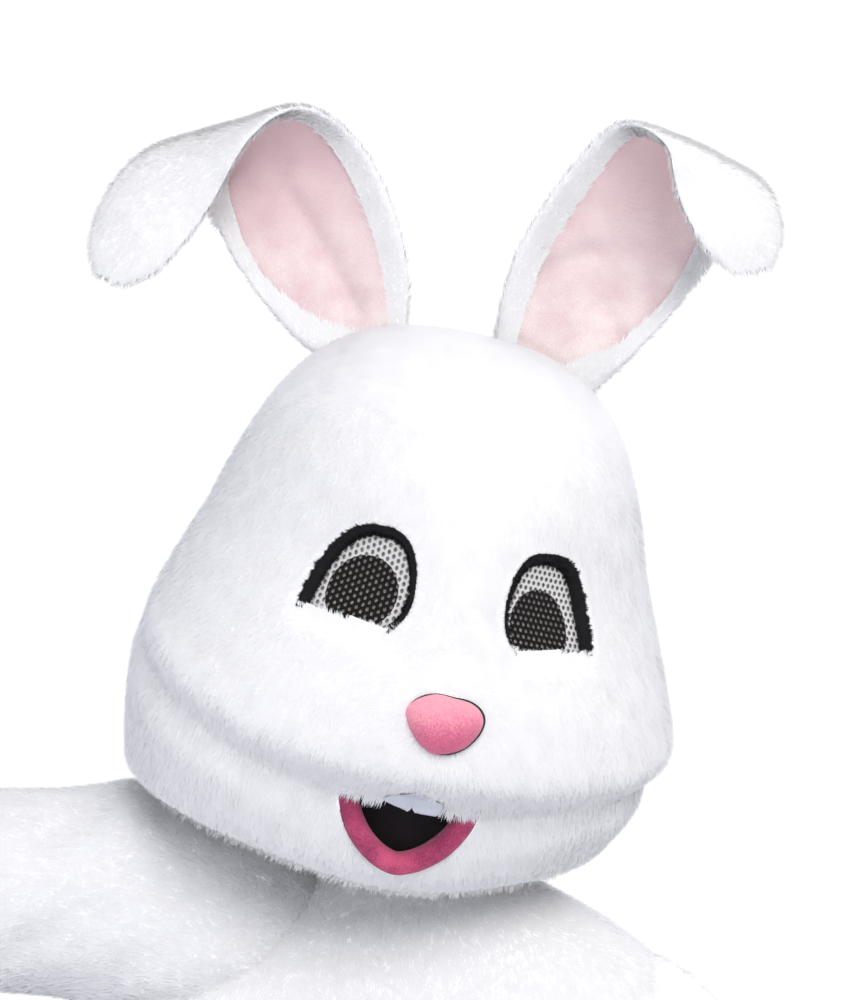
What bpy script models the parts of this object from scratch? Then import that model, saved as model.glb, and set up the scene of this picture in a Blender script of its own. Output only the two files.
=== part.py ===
"""Rabbit mascot costume, worn: a plush head over a foam wall, and a one-piece plush suit.

The origin is where the wearer carries it, at the middle of the neckline. +Z is up, the
face looks along -Y, and +X is the wearer's left. Every size below is in millimetres.
"""

import math

import bmesh
import bpy
import numpy as np
from mathutils import Matrix, Vector
from mathutils.bvhtree import BVHTree

MM = 0.001
SEAM = 0.3  # between two sewn pieces
TRIM_GAP = 0.4  # left where one piece is trimmed to another's wall
SEAT_GAP = 0.7  # under what is seated on the rounded head, whose facets differ from its own

# ---------------------------------------------------------------- the head's sizes
HEAD_WALL = 16.0  # foam, backing and pile
HEAD_CENTRE = (14.0, -8.0, 203.0)
HEAD_NOD, HEAD_TURN, HEAD_LEAN = 5.0, 9.0, 10.5  # degrees about X, Z and Y
SIDE_COLUMNS, BACK_COLUMNS = 24, 16
FACE_STEPS, JAW_STEPS, BACK_STEPS = 20, 7, 21

HEAD_COLUMNS = ("height", "half_width", "front", "back", "front_power", "shift_x")
HEAD_ROWS = (
    (205, 0, 0, 0, 2.0, 0),
    (202, 44, 42, 44, 2.0, 0),
    (191, 80, 74, 82, 2.0, 0),
    (172, 107, 101, 110, 2.0, 0),
    (147, 128, 127, 133, 1.95, 0),
    (117, 144, 149, 150, 1.85, 0),
    (84, 157, 166, 161, 1.75, 0),
    (50, 168, 178, 168, 1.7, 0),
    (15, 182, 187, 172, 1.75, 0),
    (-20, 195, 193, 174, 1.9, 0),
    (-50, 203, 194, 172, 2.1, 0),
    (-80, 202, 191, 168, 2.25, -1),
    (-108, 197, 184, 163, 2.3, -4),
    (-134, 189, 174, 156, 2.25, -8),
    (-152, 181, 164, 148, 2.2, -11),
    (-162, 165, 148, 132, 2.2, -12),
)
CHIN_DROP = 14.0

# Where the cheeks and the muzzle overhang the jaw: the angle round from the front, and the height.
# The raised shoulder pushes the wearer's right side of the jaw up.
CREASE_COLUMNS = ("angle", "height")
CREASE_ROWS = (
    (-180, -30),
    (-110, -34),
    (-90, -50),
    (-80, -60),
    (-60, -80),
    (-36, -99),
    (-18, -107),
    (18, -107),
    (36, -101),
    (60, -95),
    (80, -88),
    (90, -82),
    (110, -62),
    (180, -30),
)
CREASE_DEPTH, CREASE_REACH = 7.0, 16.0
OVERHANG, OVERHANG_RISE, OVERHANG_REACH = 5.0, 26.0, 18.0

# Rounded swellings and hollows of the face, one row for each side it is on
SWELL_COLUMNS = ("x", "height", "reach_x", "reach_z", "proud")
SWELL_ROWS = (
    (0, -68, 78, 44, 17),
    (112, -55, 62, 50, 7),
    (-112, -55, 62, 50, 7),
    (74, 44, 44, 42, -6),
    (-74, 44, 44, 42, -6),
    (0, -165, 60, 30, 6),
)

# ---------------------------------------------------------------- the face's pieces
EYE_ANGLE, EYE_HEIGHT = 25.4, 43.0  # degrees round from the front
EYE_AZIMUTH, EYE_RISE, EYE_SLANT = 34.0, 8.0, 1.0  # degrees
EYE_OUTER_SIDE, EYE_INNER_SIDE, EYE_TOP, EYE_BOTTOM = 43.0, 34.0, 35.5, -34.0
EYE_POWER = 2.4
EYE_STRIP_OUTER, EYE_STRIP_TOP, EYE_STRIP_INNER = 10.0, 7.0, 5.0
EYE_MESH_DEPTH, EYE_MESH_WALL = 8.0, 3.0
EYE_CUT = (-60.0, 40.0)  # how far the eye's outline is run in and out to cut with it
EYE_PATCH_HALF_ANGLE, EYE_PATCH_ABOVE, EYE_PATCH_BELOW = 26.0, 66.0, 62.0

NOSE_HEIGHT = -42.0
NOSE_HALF_WIDTH, NOSE_HALF_HEIGHT, NOSE_PROUD = 26.5, 21.0, 17.0
NOSE_RISES = (-14, 0, 5, 10, 14, NOSE_PROUD)  # its rings, from inside the seat to the tip

MOUTH_X, MOUTH_TOP = -10.0, -105.0
MOUTH_HALF_WIDTH, MOUTH_DROP, MOUTH_POWER = 49.5, 57.0, 1.65
LIP_HALF_WIDTH, LIP_HALF_DEPTH, LIP_SINK, LIP_INSET = 8.6, 9.0, 3.0, 1.6
MOUTH_LINING_MARGIN, LINING_WALL = 14.0, 3.0
MOUTH_LINING_ANGLES, MOUTH_LINING_FOOT = (-28, 21), -166
TOOTH_WIDTH, TOOTH_DROP, TOOTH_WALL, TOOTH_SINK = 20.0, 11.0, 5.0, 8.0
TOOTH_DROPS = (-8, 0, 4, 8, TOOTH_DROP)  # its rings, from under the muzzle to its lower edge

# ---------------------------------------------------------------- the ears
# Sections from the root to the tip, in upright axes from the middle of the head. "facing" is
# where the lined side looks: to the front at the root, and down and back past the fold.
EAR_COLUMNS = (
    "x", "y", "z", "facing_x", "facing_y", "facing_z",
    "half_width", "half_thick", "cup", "lined_from", "lined_to",
)  # fmt: skip
EAR_RIGHT_ROWS = (
    (-30, 8, 160, 0.1, -1.0, 0.05, 34, 14, 6, -0.5, -0.4),
    (-39, 8, 190, 0.1, -1.0, 0.0, 37, 13, 10, -0.6, -0.2),
    (-49, 9, 216, 0.05, -1.0, 0.0, 50, 11, 15, -0.64, 0.5),
    (-63, 9, 249, 0.0, -1.0, -0.05, 60, 10, 18, -0.66, 0.78),
    (-79, 8, 282, 0.0, -1.0, -0.15, 65, 9, 19, -0.68, 0.82),
    (-96, 2, 314, 0.05, -1.0, -0.4, 64, 9, 16, -0.7, 0.76),
    (-114, -10, 337, 0.1, -0.7, -0.8, 59, 9, 12, -0.74, 0.66),
    (-137, -22, 343, 0.2, 0.0, -1.0, 52, 9, 8, -0.76, 0.66),
    (-162, -33, 328, 0.2, 0.45, -0.8, 47, 10, 6, -0.76, 0.76),
    (-184, -43, 303, 0.2, 0.8, -0.6, 44, 10, 5, -0.72, 0.72),
    (-201, -51, 276, 0.2, 0.9, -0.5, 40, 10, 4, -0.62, 0.62),
    (-213, -56, 253, 0.2, 0.9, -0.45, 31, 9, 3, -0.4, 0.4),
    (-220, -60, 239, 0.2, 0.9, -0.4, 15, 6, 1, -0.05, 0.05),
)
EAR_LEFT_ROWS = (
    (88, 6, 156, -0.05, -1.0, 0.05, 40, 14, 6, 0.0, 0.5),
    (98, 6, 180, -0.05, -1.0, 0.0, 47, 13, 10, -0.3, 0.62),
    (111, 7, 205, -0.05, -1.0, 0.0, 56, 11, 15, -0.72, 0.64),
    (128, 7, 235, 0.0, -1.0, -0.08, 63, 10, 18, -0.82, 0.66),
    (147, 5, 263, 0.0, -1.0, -0.2, 66, 9, 19, -0.84, 0.68),
    (167, -1, 291, -0.1, -1.0, -0.35, 65, 9, 17, -0.78, 0.7),
    (186, -10, 315, -0.2, -0.8, -0.6, 63, 9, 12, -0.68, 0.74),
    (206, -22, 326, -0.35, -0.1, -0.95, 59, 9, 8, -0.66, 0.76),
    (220, -32, 313, -0.5, 0.45, -0.7, 55, 10, 6, -0.74, 0.74),
    (230, -40, 291, -0.55, 0.7, -0.5, 51, 10, 5, -0.66, 0.66),
    (238, -46, 266, -0.55, 0.75, -0.45, 42, 9, 4, -0.42, 0.42),
    (243, -49, 246, -0.55, 0.75, -0.4, 22, 6, 2, -0.05, 0.05),
)
EAR_STEPS = 2  # sections between two rows of the table
EAR_RECESS = 6.0
EAR_LINING_WALL = 2.4

# ---------------------------------------------------------------- the suit
SUIT_WALL = 12.0  # cloth and pile
TORSO_SIDES, TORSO_RINGS = 24, 19
TORSO_COLUMNS = ("height", "half_width", "front", "back", "shift_y")
TORSO_ROWS = (
    (6, 78, 60, 62, 6),
    (-8, 103, 70, 72, 8),
    (-25, 134, 82, 82, 10),
    (-46, 168, 95, 92, 12),
    (-73, 200, 108, 103, 12),
    (-110, 216, 120, 114, 10),
    (-170, 221, 134, 124, 6),
    (-260, 219, 140, 128, 4),
    (-370, 213, 140, 126, 4),
    (-480, 216, 144, 130, 4),
    (-590, 226, 148, 138, 4),
    (-690, 226, 142, 138, 2),
    (-745, 216, 134, 132, 0),
)
NECK_DIP_FRONT, NECK_DIP_ROWS = 22.0, 2.5
TORSO_POWER = 2.35
SIDE_SEAM_Y = 8.0

TUBE_SIDES, TUBE_RINGS = 16, 15
TUBE_COLUMNS = ("x", "y", "z", "half_wide", "half_deep")
SLEEVE_RIGHT_ROWS = (
    (-70, 10, -76, 96, 84),
    (-130, 9, -42, 104, 88),
    (-184, 8, -17, 103, 88),
    (-222, 7, -19, 87, 83),
    (-260, 6, -17, 80, 80),
    (-340, 3, -14, 77, 77),
    (-420, 0, -13, 74, 74),
    (-500, -4, -13, 74, 74),
    (-600, -12, -15, 68, 68),
    (-700, -20, -14, 61, 61),
    (-740, -23, -13, 55, 55),
)
SLEEVE_LEFT_ROWS = (
    (120, 10, -118, 90, 84),
    (178, 10, -160, 90, 84),
    (222, 8, -230, 84, 82),
    (256, 4, -310, 79, 79),
    (280, -2, -400, 75, 75),
    (294, -12, -490, 74, 74),
    (302, -26, -580, 68, 68),
    (306, -40, -660, 61, 61),
    (307, -46, -700, 55, 55),
)
LEG_SIDES, LEG_RINGS = 16, 13
LEG_COLUMNS = ("height", "middle_x", "middle_y", "half_wide", "half_deep", "roundness")
LEG_ROWS = (
    (-745.3, 108, 0, 108, 133, 0.0),
    (-800, 109, 0, 106, 129, 0.4),
    (-880, 112, 0, 101, 117, 0.8),
    (-980, 116, 0, 95, 103, 1.0),
    (-1100, 121, 2, 89, 93, 1.0),
    (-1230, 126, 6, 86, 89, 1.0),
    (-1340, 130, 8, 83, 87, 1.0),
    (-1400, 132, 8, 74, 78, 1.0),
)
LEG_POWER = 2.2

COLOURS = {
    "white_fur": ((0.93, 0.93, 0.94), 0.9),
    "pink_lining": ((0.90, 0.66, 0.71), 0.85),
    "pink_nose": ((0.85, 0.25, 0.45), 0.75),
    "hot_pink_fleece": ((0.62, 0.08, 0.24), 0.85),
    "black_fur": ((0.01, 0.01, 0.012), 0.9),
    "eye_mesh": ((0.72, 0.72, 0.72), 0.7),
    "mouth_black": ((0.008, 0.006, 0.008), 0.9),
    "tooth_satin": ((0.88, 0.9, 0.94), 0.4),
}


# ---------------------------------------------------------------- helpers
def column(rows, columns, name):
    return np.array([row[columns.index(name)] for row in rows], float)


def smooth(values, place):
    """A Catmull-Rom curve through the values, read at places counted from the first."""
    values = np.asarray(values, float)
    place = np.clip(np.asarray(place, float), 0, len(values) - 1)
    first = np.minimum(place.astype(int), len(values) - 2)
    part = place - first
    before, a = values[np.maximum(first - 1, 0)], values[first]
    b, after = values[first + 1], values[np.minimum(first + 2, len(values) - 1)]
    slope_a, slope_b = (b - before) / 2, (after - a) / 2
    return (
        (2 * part**3 - 3 * part**2 + 1) * a
        + (part**3 - 2 * part**2 + part) * slope_a
        + (3 * part**2 - 2 * part**3) * b
        + (part**3 - part**2) * slope_b
    )


def unit(vectors):
    return vectors / np.maximum(np.linalg.norm(vectors, axis=-1, keepdims=True), 1e-9)


def make_material(name):
    colour, roughness = COLOURS[name]
    material = bpy.data.materials.new(name)
    material.use_nodes = True
    material.diffuse_color = (*colour, 1)
    shader = material.node_tree.nodes["Principled BSDF"]
    shader.inputs["Base Color"].default_value = (*colour, 1)
    shader.inputs["Roughness"].default_value = roughness
    shader.inputs["Metallic"].default_value = 0
    return material


def add_object(name, points, faces, material=None, parent=None):
    """One closed mesh from points in millimetres. With no material it is a hidden cutter."""
    mesh = bpy.data.meshes.new(name)
    mesh.from_pydata([tuple(point) for point in np.asarray(points) * MM], [], faces)
    shape = bmesh.new()
    shape.from_mesh(mesh)
    bmesh.ops.remove_doubles(shape, verts=shape.verts, dist=2e-6)
    bmesh.ops.triangulate(shape, faces=shape.faces, quad_method="FIXED")
    bmesh.ops.recalc_face_normals(shape, faces=shape.faces)
    shape.to_mesh(mesh)
    shape.free()
    made = bpy.data.objects.new(name, mesh)
    bpy.context.scene.collection.objects.link(made)
    made.parent = parent
    if material:
        mesh.materials.append(material)
        mesh.shade_smooth()
    else:
        made.hide_render = True
        made.display_type = "WIRE"
    return made


def cut(target, cutter, operation="DIFFERENCE"):
    modifier = target.modifiers.new(cutter.name, "BOOLEAN")
    modifier.operation = operation
    modifier.object = cutter
    modifier.solver = "EXACT"


def sheet_faces(rows, columns, start, ring):
    """Quads over a grid of points that begins at start, closed round when it is a ring."""
    faces = []
    for i in range(rows - 1):
        for j in range(columns if ring else columns - 1):
            right = (j + 1) % columns
            above, below = start + i * columns, start + (i + 1) * columns
            faces.append((above + j, above + right, below + right, below + j))
    return faces


def wall(outer, inner, ring=False):
    """Points and faces of a wall between two grids of the same size."""
    rows, columns = outer.shape[:2]
    count = rows * columns
    points = np.concatenate([outer.reshape(-1, 3), inner.reshape(-1, 3)])
    faces = sheet_faces(rows, columns, 0, ring) + sheet_faces(rows, columns, count, ring)
    border = [[row * columns + j for j in range(columns)] for row in (0, rows - 1)]
    if ring:
        border = [line + line[:1] for line in border]
    else:
        border += [[i * columns + side for i in range(rows)] for side in (0, columns - 1)]
    for line in border:
        faces += [(a, b, b + count, a + count) for a, b in zip(line, line[1:])]
    return points, faces


def solid(rings):
    """Points and faces of a stack of rings, closed with a cap at each end."""
    rows, sides = rings.shape[:2]
    faces = sheet_faces(rows, sides, 0, True)
    faces += [tuple(range(sides)), tuple(range((rows - 1) * sides, rows * sides))]
    return rings.reshape(-1, 3), faces


def prism(outline, frame, near, far):
    """An outline of (u, v) pairs run along the third axis of a frame, from near to far."""
    origin, u_axis, v_axis, w_axis = (np.array(axis, float) for axis in frame)
    flat = np.array([origin + u * u_axis + v * v_axis for u, v in outline])
    return solid(np.stack([flat + near * w_axis, flat + far * w_axis]))


# ---------------------------------------------------------------- the head's surface
HEIGHTS = column(HEAD_ROWS, HEAD_COLUMNS, "height")
LAST_ROW = len(HEAD_ROWS) - 1
FINE_PLACES = np.linspace(0, LAST_ROW, 600)


def place_at(height):
    """The place down the head's rows where the surface has this height."""
    return np.interp(-np.asarray(height, float), -smooth(HEIGHTS, FINE_PLACES), FINE_PLACES)


def crease_height(angle):
    angles = column(CREASE_ROWS, CREASE_COLUMNS, "angle")
    return np.interp(angle, angles, column(CREASE_ROWS, CREASE_COLUMNS, "height"))


def plain_head(place, angle):
    """The head before its swellings. The angle is in degrees from the front, to the wearer's left."""
    size = {name: smooth(column(HEAD_ROWS, HEAD_COLUMNS, name), place) for name in HEAD_COLUMNS}
    turn = np.radians(angle)
    forward = np.cos(turn)
    power = 2 / np.where(forward > 0, size["front_power"], 2.0)
    x = size["half_width"] * np.sign(np.sin(turn)) * np.abs(np.sin(turn)) ** power
    depth = np.where(forward > 0, size["front"], size["back"])
    y = -depth * np.sign(forward) * np.abs(forward) ** power
    return np.stack([x + size["shift_x"], y, size["height"] + 0 * x], axis=-1)


def surface_normals(function, place, angle):
    """Outward normals of a surface by small differences. On the side seams they lie in its plane."""
    step_place, step_angle = 0.02, 0.4
    down = function(np.minimum(place + step_place, LAST_ROW), angle) - function(place - step_place, angle)
    round_head = function(place, angle + step_angle) - function(place, angle - step_angle)
    normals = np.cross(down, round_head)
    normals[..., 1] *= np.abs(np.abs(angle) - 90) > 0.01
    return unit(normals)


def swelling(points, angle):
    front = np.clip(np.cos(np.radians(angle)) * 2.5, 0, 1)
    total = np.zeros(points.shape[:-1])
    for row in SWELL_ROWS:
        swell = dict(zip(SWELL_COLUMNS, row))
        far = ((points[..., 0] - swell["x"]) / swell["reach_x"]) ** 2
        far += ((points[..., 2] - swell["height"]) / swell["reach_z"]) ** 2
        total += swell["proud"] * np.exp(-far) * front
    rise = points[..., 2] - crease_height(angle)
    fade = np.exp(-((np.maximum(np.abs(angle) - 84, 0) / 26) ** 2))
    total -= CREASE_DEPTH * np.exp(-((rise / CREASE_REACH) ** 2)) * fade * (0.55 + 0.45 * front)
    total += OVERHANG * np.exp(-(((rise - OVERHANG_RISE) / OVERHANG_REACH) ** 2)) * front
    return total


def head_surface(place, angle):
    place, angle = np.broadcast_arrays(np.maximum(place, 0.03), np.asarray(angle, float))
    points = plain_head(place, angle)
    normals = surface_normals(plain_head, place, angle)
    points = points + normals * swelling(points, angle)[..., None]
    low = np.clip((-95 - points[..., 2]) / 75, 0, 1)
    points[..., 2] -= CHIN_DROP * low * np.exp(-((angle / 48) ** 2)) * (np.abs(angle) < 150)
    return points


def head_grid(places, angles, depths):
    """Grids of the head's surface at several depths below it. A depth under 0 stands proud."""
    outer = head_surface(places, angles)
    normals = surface_normals(head_surface, np.maximum(places, 0.06), angles)
    crown = places < 0.01
    outer[crown] = (0, 0, HEIGHTS[0])
    normals[crown] = (0, 0, 1)
    return [outer - normals * depth for depth in depths]


def panel_places(top, bottom, steps, angles):
    """Places from a top line to a bottom line, which may differ for each angle."""
    part = np.linspace(0, 1, steps)[:, None]
    return top + (bottom - top) * part + 0 * angles[None, :]


def head_solid(name, depth, parent):
    """The whole head as one closed solid at this depth, for cutting what is seated on it."""
    angles = np.linspace(-180, 180, 49)[:-1]
    places = panel_places(0.25, LAST_ROW, 34, angles)
    rings = head_grid(places, 0 * places + angles, [depth])[0]
    return add_object(name, *solid(rings), parent=parent)


# ---------------------------------------------------------------- the head's panels
def front_panel(name, frame, material=None, grow=0.0):
    """The face, above the crease, or the jaw, below it. A grown one trims what is seated on it."""
    angles = np.linspace(-90, 90, SIDE_COLUMNS + 1)
    crease = crease_height(angles)
    if name.endswith("face"):
        places = panel_places(0, place_at(crease - grow), FACE_STEPS, angles)
    else:
        places = panel_places(place_at(crease - 2 * SEAM + grow), LAST_ROW, JAW_STEPS, angles)
    outer, inner = head_grid(places, 0 * places + angles, [-grow, HEAD_WALL + grow])
    forward = np.array([0, -SEAM / 2, 0])
    return add_object(name, *wall(outer + forward, inner + forward), material, frame)


def add_head_back(frame, material):
    angles = np.linspace(90, 270, BACK_COLUMNS + 1)
    places = panel_places(0, LAST_ROW, BACK_STEPS, angles)
    turned = np.where(angles > 180, angles - 360, angles)
    outer, inner = head_grid(places, 0 * places + turned, [0, HEAD_WALL])
    backward = np.array([0, SEAM / 2, 0])
    return add_object("head_back", *wall(outer + backward, inner + backward), material, frame)


# ---------------------------------------------------------------- eyes
def eye_axes(side):
    """Middle, outward across, up and out directions of an eye. side is 1 on the wearer's left."""
    azimuth, rise, slant = (math.radians(value) for value in (EYE_AZIMUTH, EYE_RISE, EYE_SLANT))
    out = np.array([side * math.sin(azimuth), -math.cos(azimuth), math.tan(rise)]) * math.cos(rise)
    level = unit(np.cross(np.array([0, 0, 1.0]), out)) * side
    up = unit(np.cross(out, level)) * side
    across = level * math.cos(slant) + up * math.sin(slant)
    up = up * math.cos(slant) - level * math.sin(slant)
    places = place_at(np.array([EYE_HEIGHT]))
    middle = head_surface(places, np.array([side * EYE_ANGLE]))[0]
    return middle, across, up, out


def eye_outline(grow, inner=False):
    """The arch of an eye, with its flat lower edge. inner is the edge of the mesh inside the black strip."""
    outer_side = EYE_OUTER_SIDE - (EYE_STRIP_OUTER if inner else 0) + grow
    inner_side = EYE_INNER_SIDE - (EYE_STRIP_INNER if inner else 0) + grow
    top = EYE_TOP - (EYE_STRIP_TOP if inner else 0) + grow
    bottom = EYE_BOTTOM - grow
    outline = []
    for turn in np.linspace(0, math.pi, 13):
        across = math.cos(turn)
        wide = outer_side if across > 0 else inner_side
        rise = abs(math.sin(turn)) ** (2 / EYE_POWER)
        reach = np.sign(across) * abs(across) ** (2 / EYE_POWER)
        outline.append((wide * reach, bottom + (top - bottom) * rise))
    return outline


def add_eye(side, name, frame, face, materials):
    axes = eye_axes(side)
    hole = add_object(f"cut_eye_{name}", *prism(eye_outline(0), axes, *EYE_CUT), parent=frame)
    cut(face, hole)
    angles = side * EYE_ANGLE + np.linspace(-EYE_PATCH_HALF_ANGLE, EYE_PATCH_HALF_ANGLE, 9)
    top, bottom = place_at(EYE_HEIGHT + EYE_PATCH_ABOVE), place_at(EYE_HEIGHT - EYE_PATCH_BELOW)
    places = panel_places(top, bottom, 9, angles)
    depths = [0, HEAD_WALL, EYE_MESH_DEPTH, EYE_MESH_DEPTH + EYE_MESH_WALL]
    grids = head_grid(places, 0 * places + angles, depths)
    strip = add_object(f"eye_outline_{name}", *wall(grids[0], grids[1]), materials["black_fur"], frame)
    keep = prism(eye_outline(-SEAM), axes, *EYE_CUT)
    cut(strip, add_object(f"keep_strip_{name}", *keep, parent=frame), "INTERSECT")
    window = eye_outline(SEAM / 2, inner=True)
    below = [(window[end][0], EYE_BOTTOM - 12) for end in (0, -1)]
    window = [below[0]] + window + [below[1]]
    reach = (EYE_CUT[0] - 10, EYE_CUT[1] + 10)
    cut(strip, add_object(f"cut_strip_{name}", *prism(window, axes, *reach), parent=frame))
    mesh = add_object(f"eye_mesh_{name}", *wall(grids[2], grids[3]), materials["eye_mesh"], frame)
    pane = prism(eye_outline(-SEAM / 2, inner=True), axes, *EYE_CUT)
    cut(mesh, add_object(f"keep_mesh_{name}", *pane, parent=frame), "INTERSECT")


# ---------------------------------------------------------------- nose, mouth and teeth
def skin_tree():
    """The front of the head's surface, to find the point on it at a given x and height."""
    angles = np.linspace(-100, 100, 81)
    places = panel_places(place_at(120), LAST_ROW, 60, angles)
    grid = head_surface(places, 0 * places + angles)
    return BVHTree.FromPolygons([Vector(p) for p in grid.reshape(-1, 3)], sheet_faces(60, 81, 0, False))


def on_skin(tree, x, height):
    point, normal, _, _ = tree.ray_cast(Vector((x, -500, height)), Vector((0, 1, 0)))
    if normal.y > 0:
        normal = -normal
    return np.array(point), np.array(normal)


def add_nose(tree, frame, seat, material):
    point, normal = on_skin(tree, 0, NOSE_HEIGHT)
    across = np.array([1.0, 0, 0])
    up = np.cross(normal, across)
    rings = []
    for rise in NOSE_RISES:
        shrink = max(1 - (max(rise, 0) / NOSE_PROUD) ** 2.4, 0.1) ** 0.5
        ring = []
        for turn in np.linspace(0, 2 * math.pi, 20, endpoint=False):
            lift = math.sin(turn)
            wide = NOSE_HALF_WIDTH * (1 + 0.2 * lift) * shrink
            tall = NOSE_HALF_HEIGHT * (0.92 if lift > 0 else 1.08) * shrink
            ring.append(point + across * wide * math.cos(turn) + up * tall * lift + normal * rise)
        rings.append(ring)
    nose = add_object("nose", *solid(np.array(rings)), material, frame)
    cut(nose, seat)


def mouth_curve(turn, half_width, drop):
    """The U of the mouth from one corner (0) round the chin to the other (pi)."""
    reach = abs(math.cos(turn)) ** (2 / MOUTH_POWER) * (1 if math.cos(turn) > 0 else -1)
    return MOUTH_X + half_width * reach, MOUTH_TOP - drop * abs(math.sin(turn)) ** (2 / MOUTH_POWER)


def add_mouth(tree, frame, jaw, materials):
    grown_face = front_panel("cut_by_face", frame, grow=TRIM_GAP)
    grown_jaw = front_panel("cut_by_jaw", frame, grow=TRIM_GAP)
    level = ((0, 0, 0), (1, 0, 0), (0, 0, 1), (0, -1, 0))
    turns = np.linspace(0, math.pi, 21)
    hole = [mouth_curve(turn, MOUTH_HALF_WIDTH, MOUTH_DROP) for turn in turns]
    hole = [(hole[0][0], MOUTH_TOP + 10)] + hole + [(hole[-1][0], MOUTH_TOP + 10)]
    cut(jaw, add_object("cut_mouth", *prism(hole, level, 90, 300), parent=frame))

    rings = []
    inset = LIP_HALF_WIDTH + LIP_INSET
    for turn in np.linspace(0.06, math.pi - 0.06, 25):
        x, height = mouth_curve(turn, MOUTH_HALF_WIDTH - inset, MOUTH_DROP - inset)
        ahead = mouth_curve(turn + 0.02, MOUTH_HALF_WIDTH - inset, MOUTH_DROP - inset)
        point, normal = on_skin(tree, x, height)
        along = unit(np.array([ahead[0] - x, 0, ahead[1] - height]))
        out = np.array([0, -1.0, 0])
        across = np.cross(along, out)
        middle = point - out * LIP_SINK
        rings.append([
            middle + across * LIP_HALF_WIDTH * math.cos(t) + out * LIP_HALF_DEPTH * math.sin(t)
            for t in np.linspace(0, 2 * math.pi, 10, endpoint=False)
        ])  # fmt: skip
    lip = add_object("lip", *solid(np.array(rings)), materials["hot_pink_fleece"], frame)
    cut(lip, grown_face)

    angles = np.linspace(*MOUTH_LINING_ANGLES, 11)
    top, bottom = place_at(MOUTH_TOP + MOUTH_LINING_MARGIN), place_at(MOUTH_LINING_FOOT)
    places = panel_places(top, bottom, 8, angles)
    near, far = HEAD_WALL + 3 * SEAM, HEAD_WALL + 3 * SEAM + LINING_WALL
    grids = head_grid(places, 0 * places + angles, [near, far])
    lining = add_object("mouth_lining", *wall(*grids), materials["mouth_black"], frame)
    cut(lining, grown_face)
    cut(lining, grown_jaw)

    for side, name in ((-1, "right"), (1, "left")):
        rings = []
        for drop in TOOTH_DROPS:
            narrow = 1 - 0.16 * max(drop / TOOTH_DROP, 0) ** 3
            middle_x = MOUTH_X + side * (TOOTH_WIDTH / 2 + SEAM)
            point, _ = on_skin(tree, middle_x, MOUTH_TOP + 4)
            rings.append([
                (middle_x + TOOTH_WIDTH / 2 * narrow * math.cos(t),
                 point[1] + TOOTH_SINK + TOOTH_WALL / 2 * math.sin(t),
                 MOUTH_TOP - drop)
                for t in np.linspace(0, 2 * math.pi, 12, endpoint=False)
            ])  # fmt: skip
        tooth = add_object(f"tooth_{name}", *solid(np.array(rings)), materials["tooth_satin"], frame)
        cut(tooth, grown_face)


# ---------------------------------------------------------------- ears
def ear_sections(rows):
    """Middle, across, facing and sizes of each section, with the table made finer."""
    places = np.linspace(0, len(rows) - 1, (len(rows) - 1) * EAR_STEPS + 1)
    size = {name: smooth(column(rows, EAR_COLUMNS, name), places) for name in EAR_COLUMNS}
    middle = np.stack([size["x"], size["y"], size["z"]], axis=-1)
    facing = np.stack([size["facing_x"], size["facing_y"], size["facing_z"]], axis=-1)
    along = unit(np.gradient(middle, axis=0))
    facing = unit(facing - along * (facing * along).sum(axis=1, keepdims=True))
    across = unit(np.cross(facing, along))
    return middle, across, facing, size


def ear_point(section, sections, s, lift):
    """A point at s (-1 to 1) across a section, lifted off its curved middle sheet."""
    middle, across, facing, size = sections
    reach = size["half_width"][section] * s
    cup = size["cup"][section] * (s * s - 0.35)
    return middle[section] + across[section] * reach + facing[section] * (cup + lift)


def ear_rim(s):
    return max(1 - abs(s) ** 2.6, 0) ** 0.5


def add_ear(name, rows, seat, materials, frame):
    sections = ear_sections(rows)
    size = sections[3]
    rings, cloth = [], [[], []]
    for i, thick in enumerate(size["half_thick"]):
        low, high = size["lined_from"][i], size["lined_to"][i]
        recess = EAR_RECESS * min(1, (high - low) * 2.5)
        back = [(s, -thick * ear_rim(s)) for s in (-1, -0.93, -0.75, -0.4, 0, 0.4, 0.75, 0.93)]
        across = np.linspace(high, low, 5)
        floor = [(s, thick * ear_rim(s) - recess) for s in across]
        right, left = min(high + 0.09, 0.94), max(low - 0.09, -0.94)
        front = [(1, 0), (0.97, thick * 0.5), (right, thick * ear_rim(right))] + floor
        front += [(left, thick * ear_rim(left)), (-0.97, thick * 0.5)]
        rings.append([ear_point(i, sections, s, lift) for s, lift in back + front])
        for layer, rise in enumerate((2 * SEAM, 2 * SEAM + EAR_LINING_WALL)):
            cloth[layer].append([
                ear_point(i, sections, s + trim, lift + rise)
                for (s, lift), trim in zip(floor, (-0.012, 0, 0, 0, 0.012))
            ])  # fmt: skip
    ear = add_object(f"ear_{name}", *solid(np.array(rings)), materials["white_fur"], frame)
    cut(ear, seat)
    first, last = 3, len(rings) - 2
    lining = wall(np.array(cloth[1][first:last]), np.array(cloth[0][first:last]))
    add_object(f"ear_lining_{name}", *lining, materials["pink_lining"], frame)


# ---------------------------------------------------------------- the suit
def bent(value, power):
    """A sine or a cosine pulled toward a squarer outline."""
    return math.copysign(abs(value) ** (2 / power), value)


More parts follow.
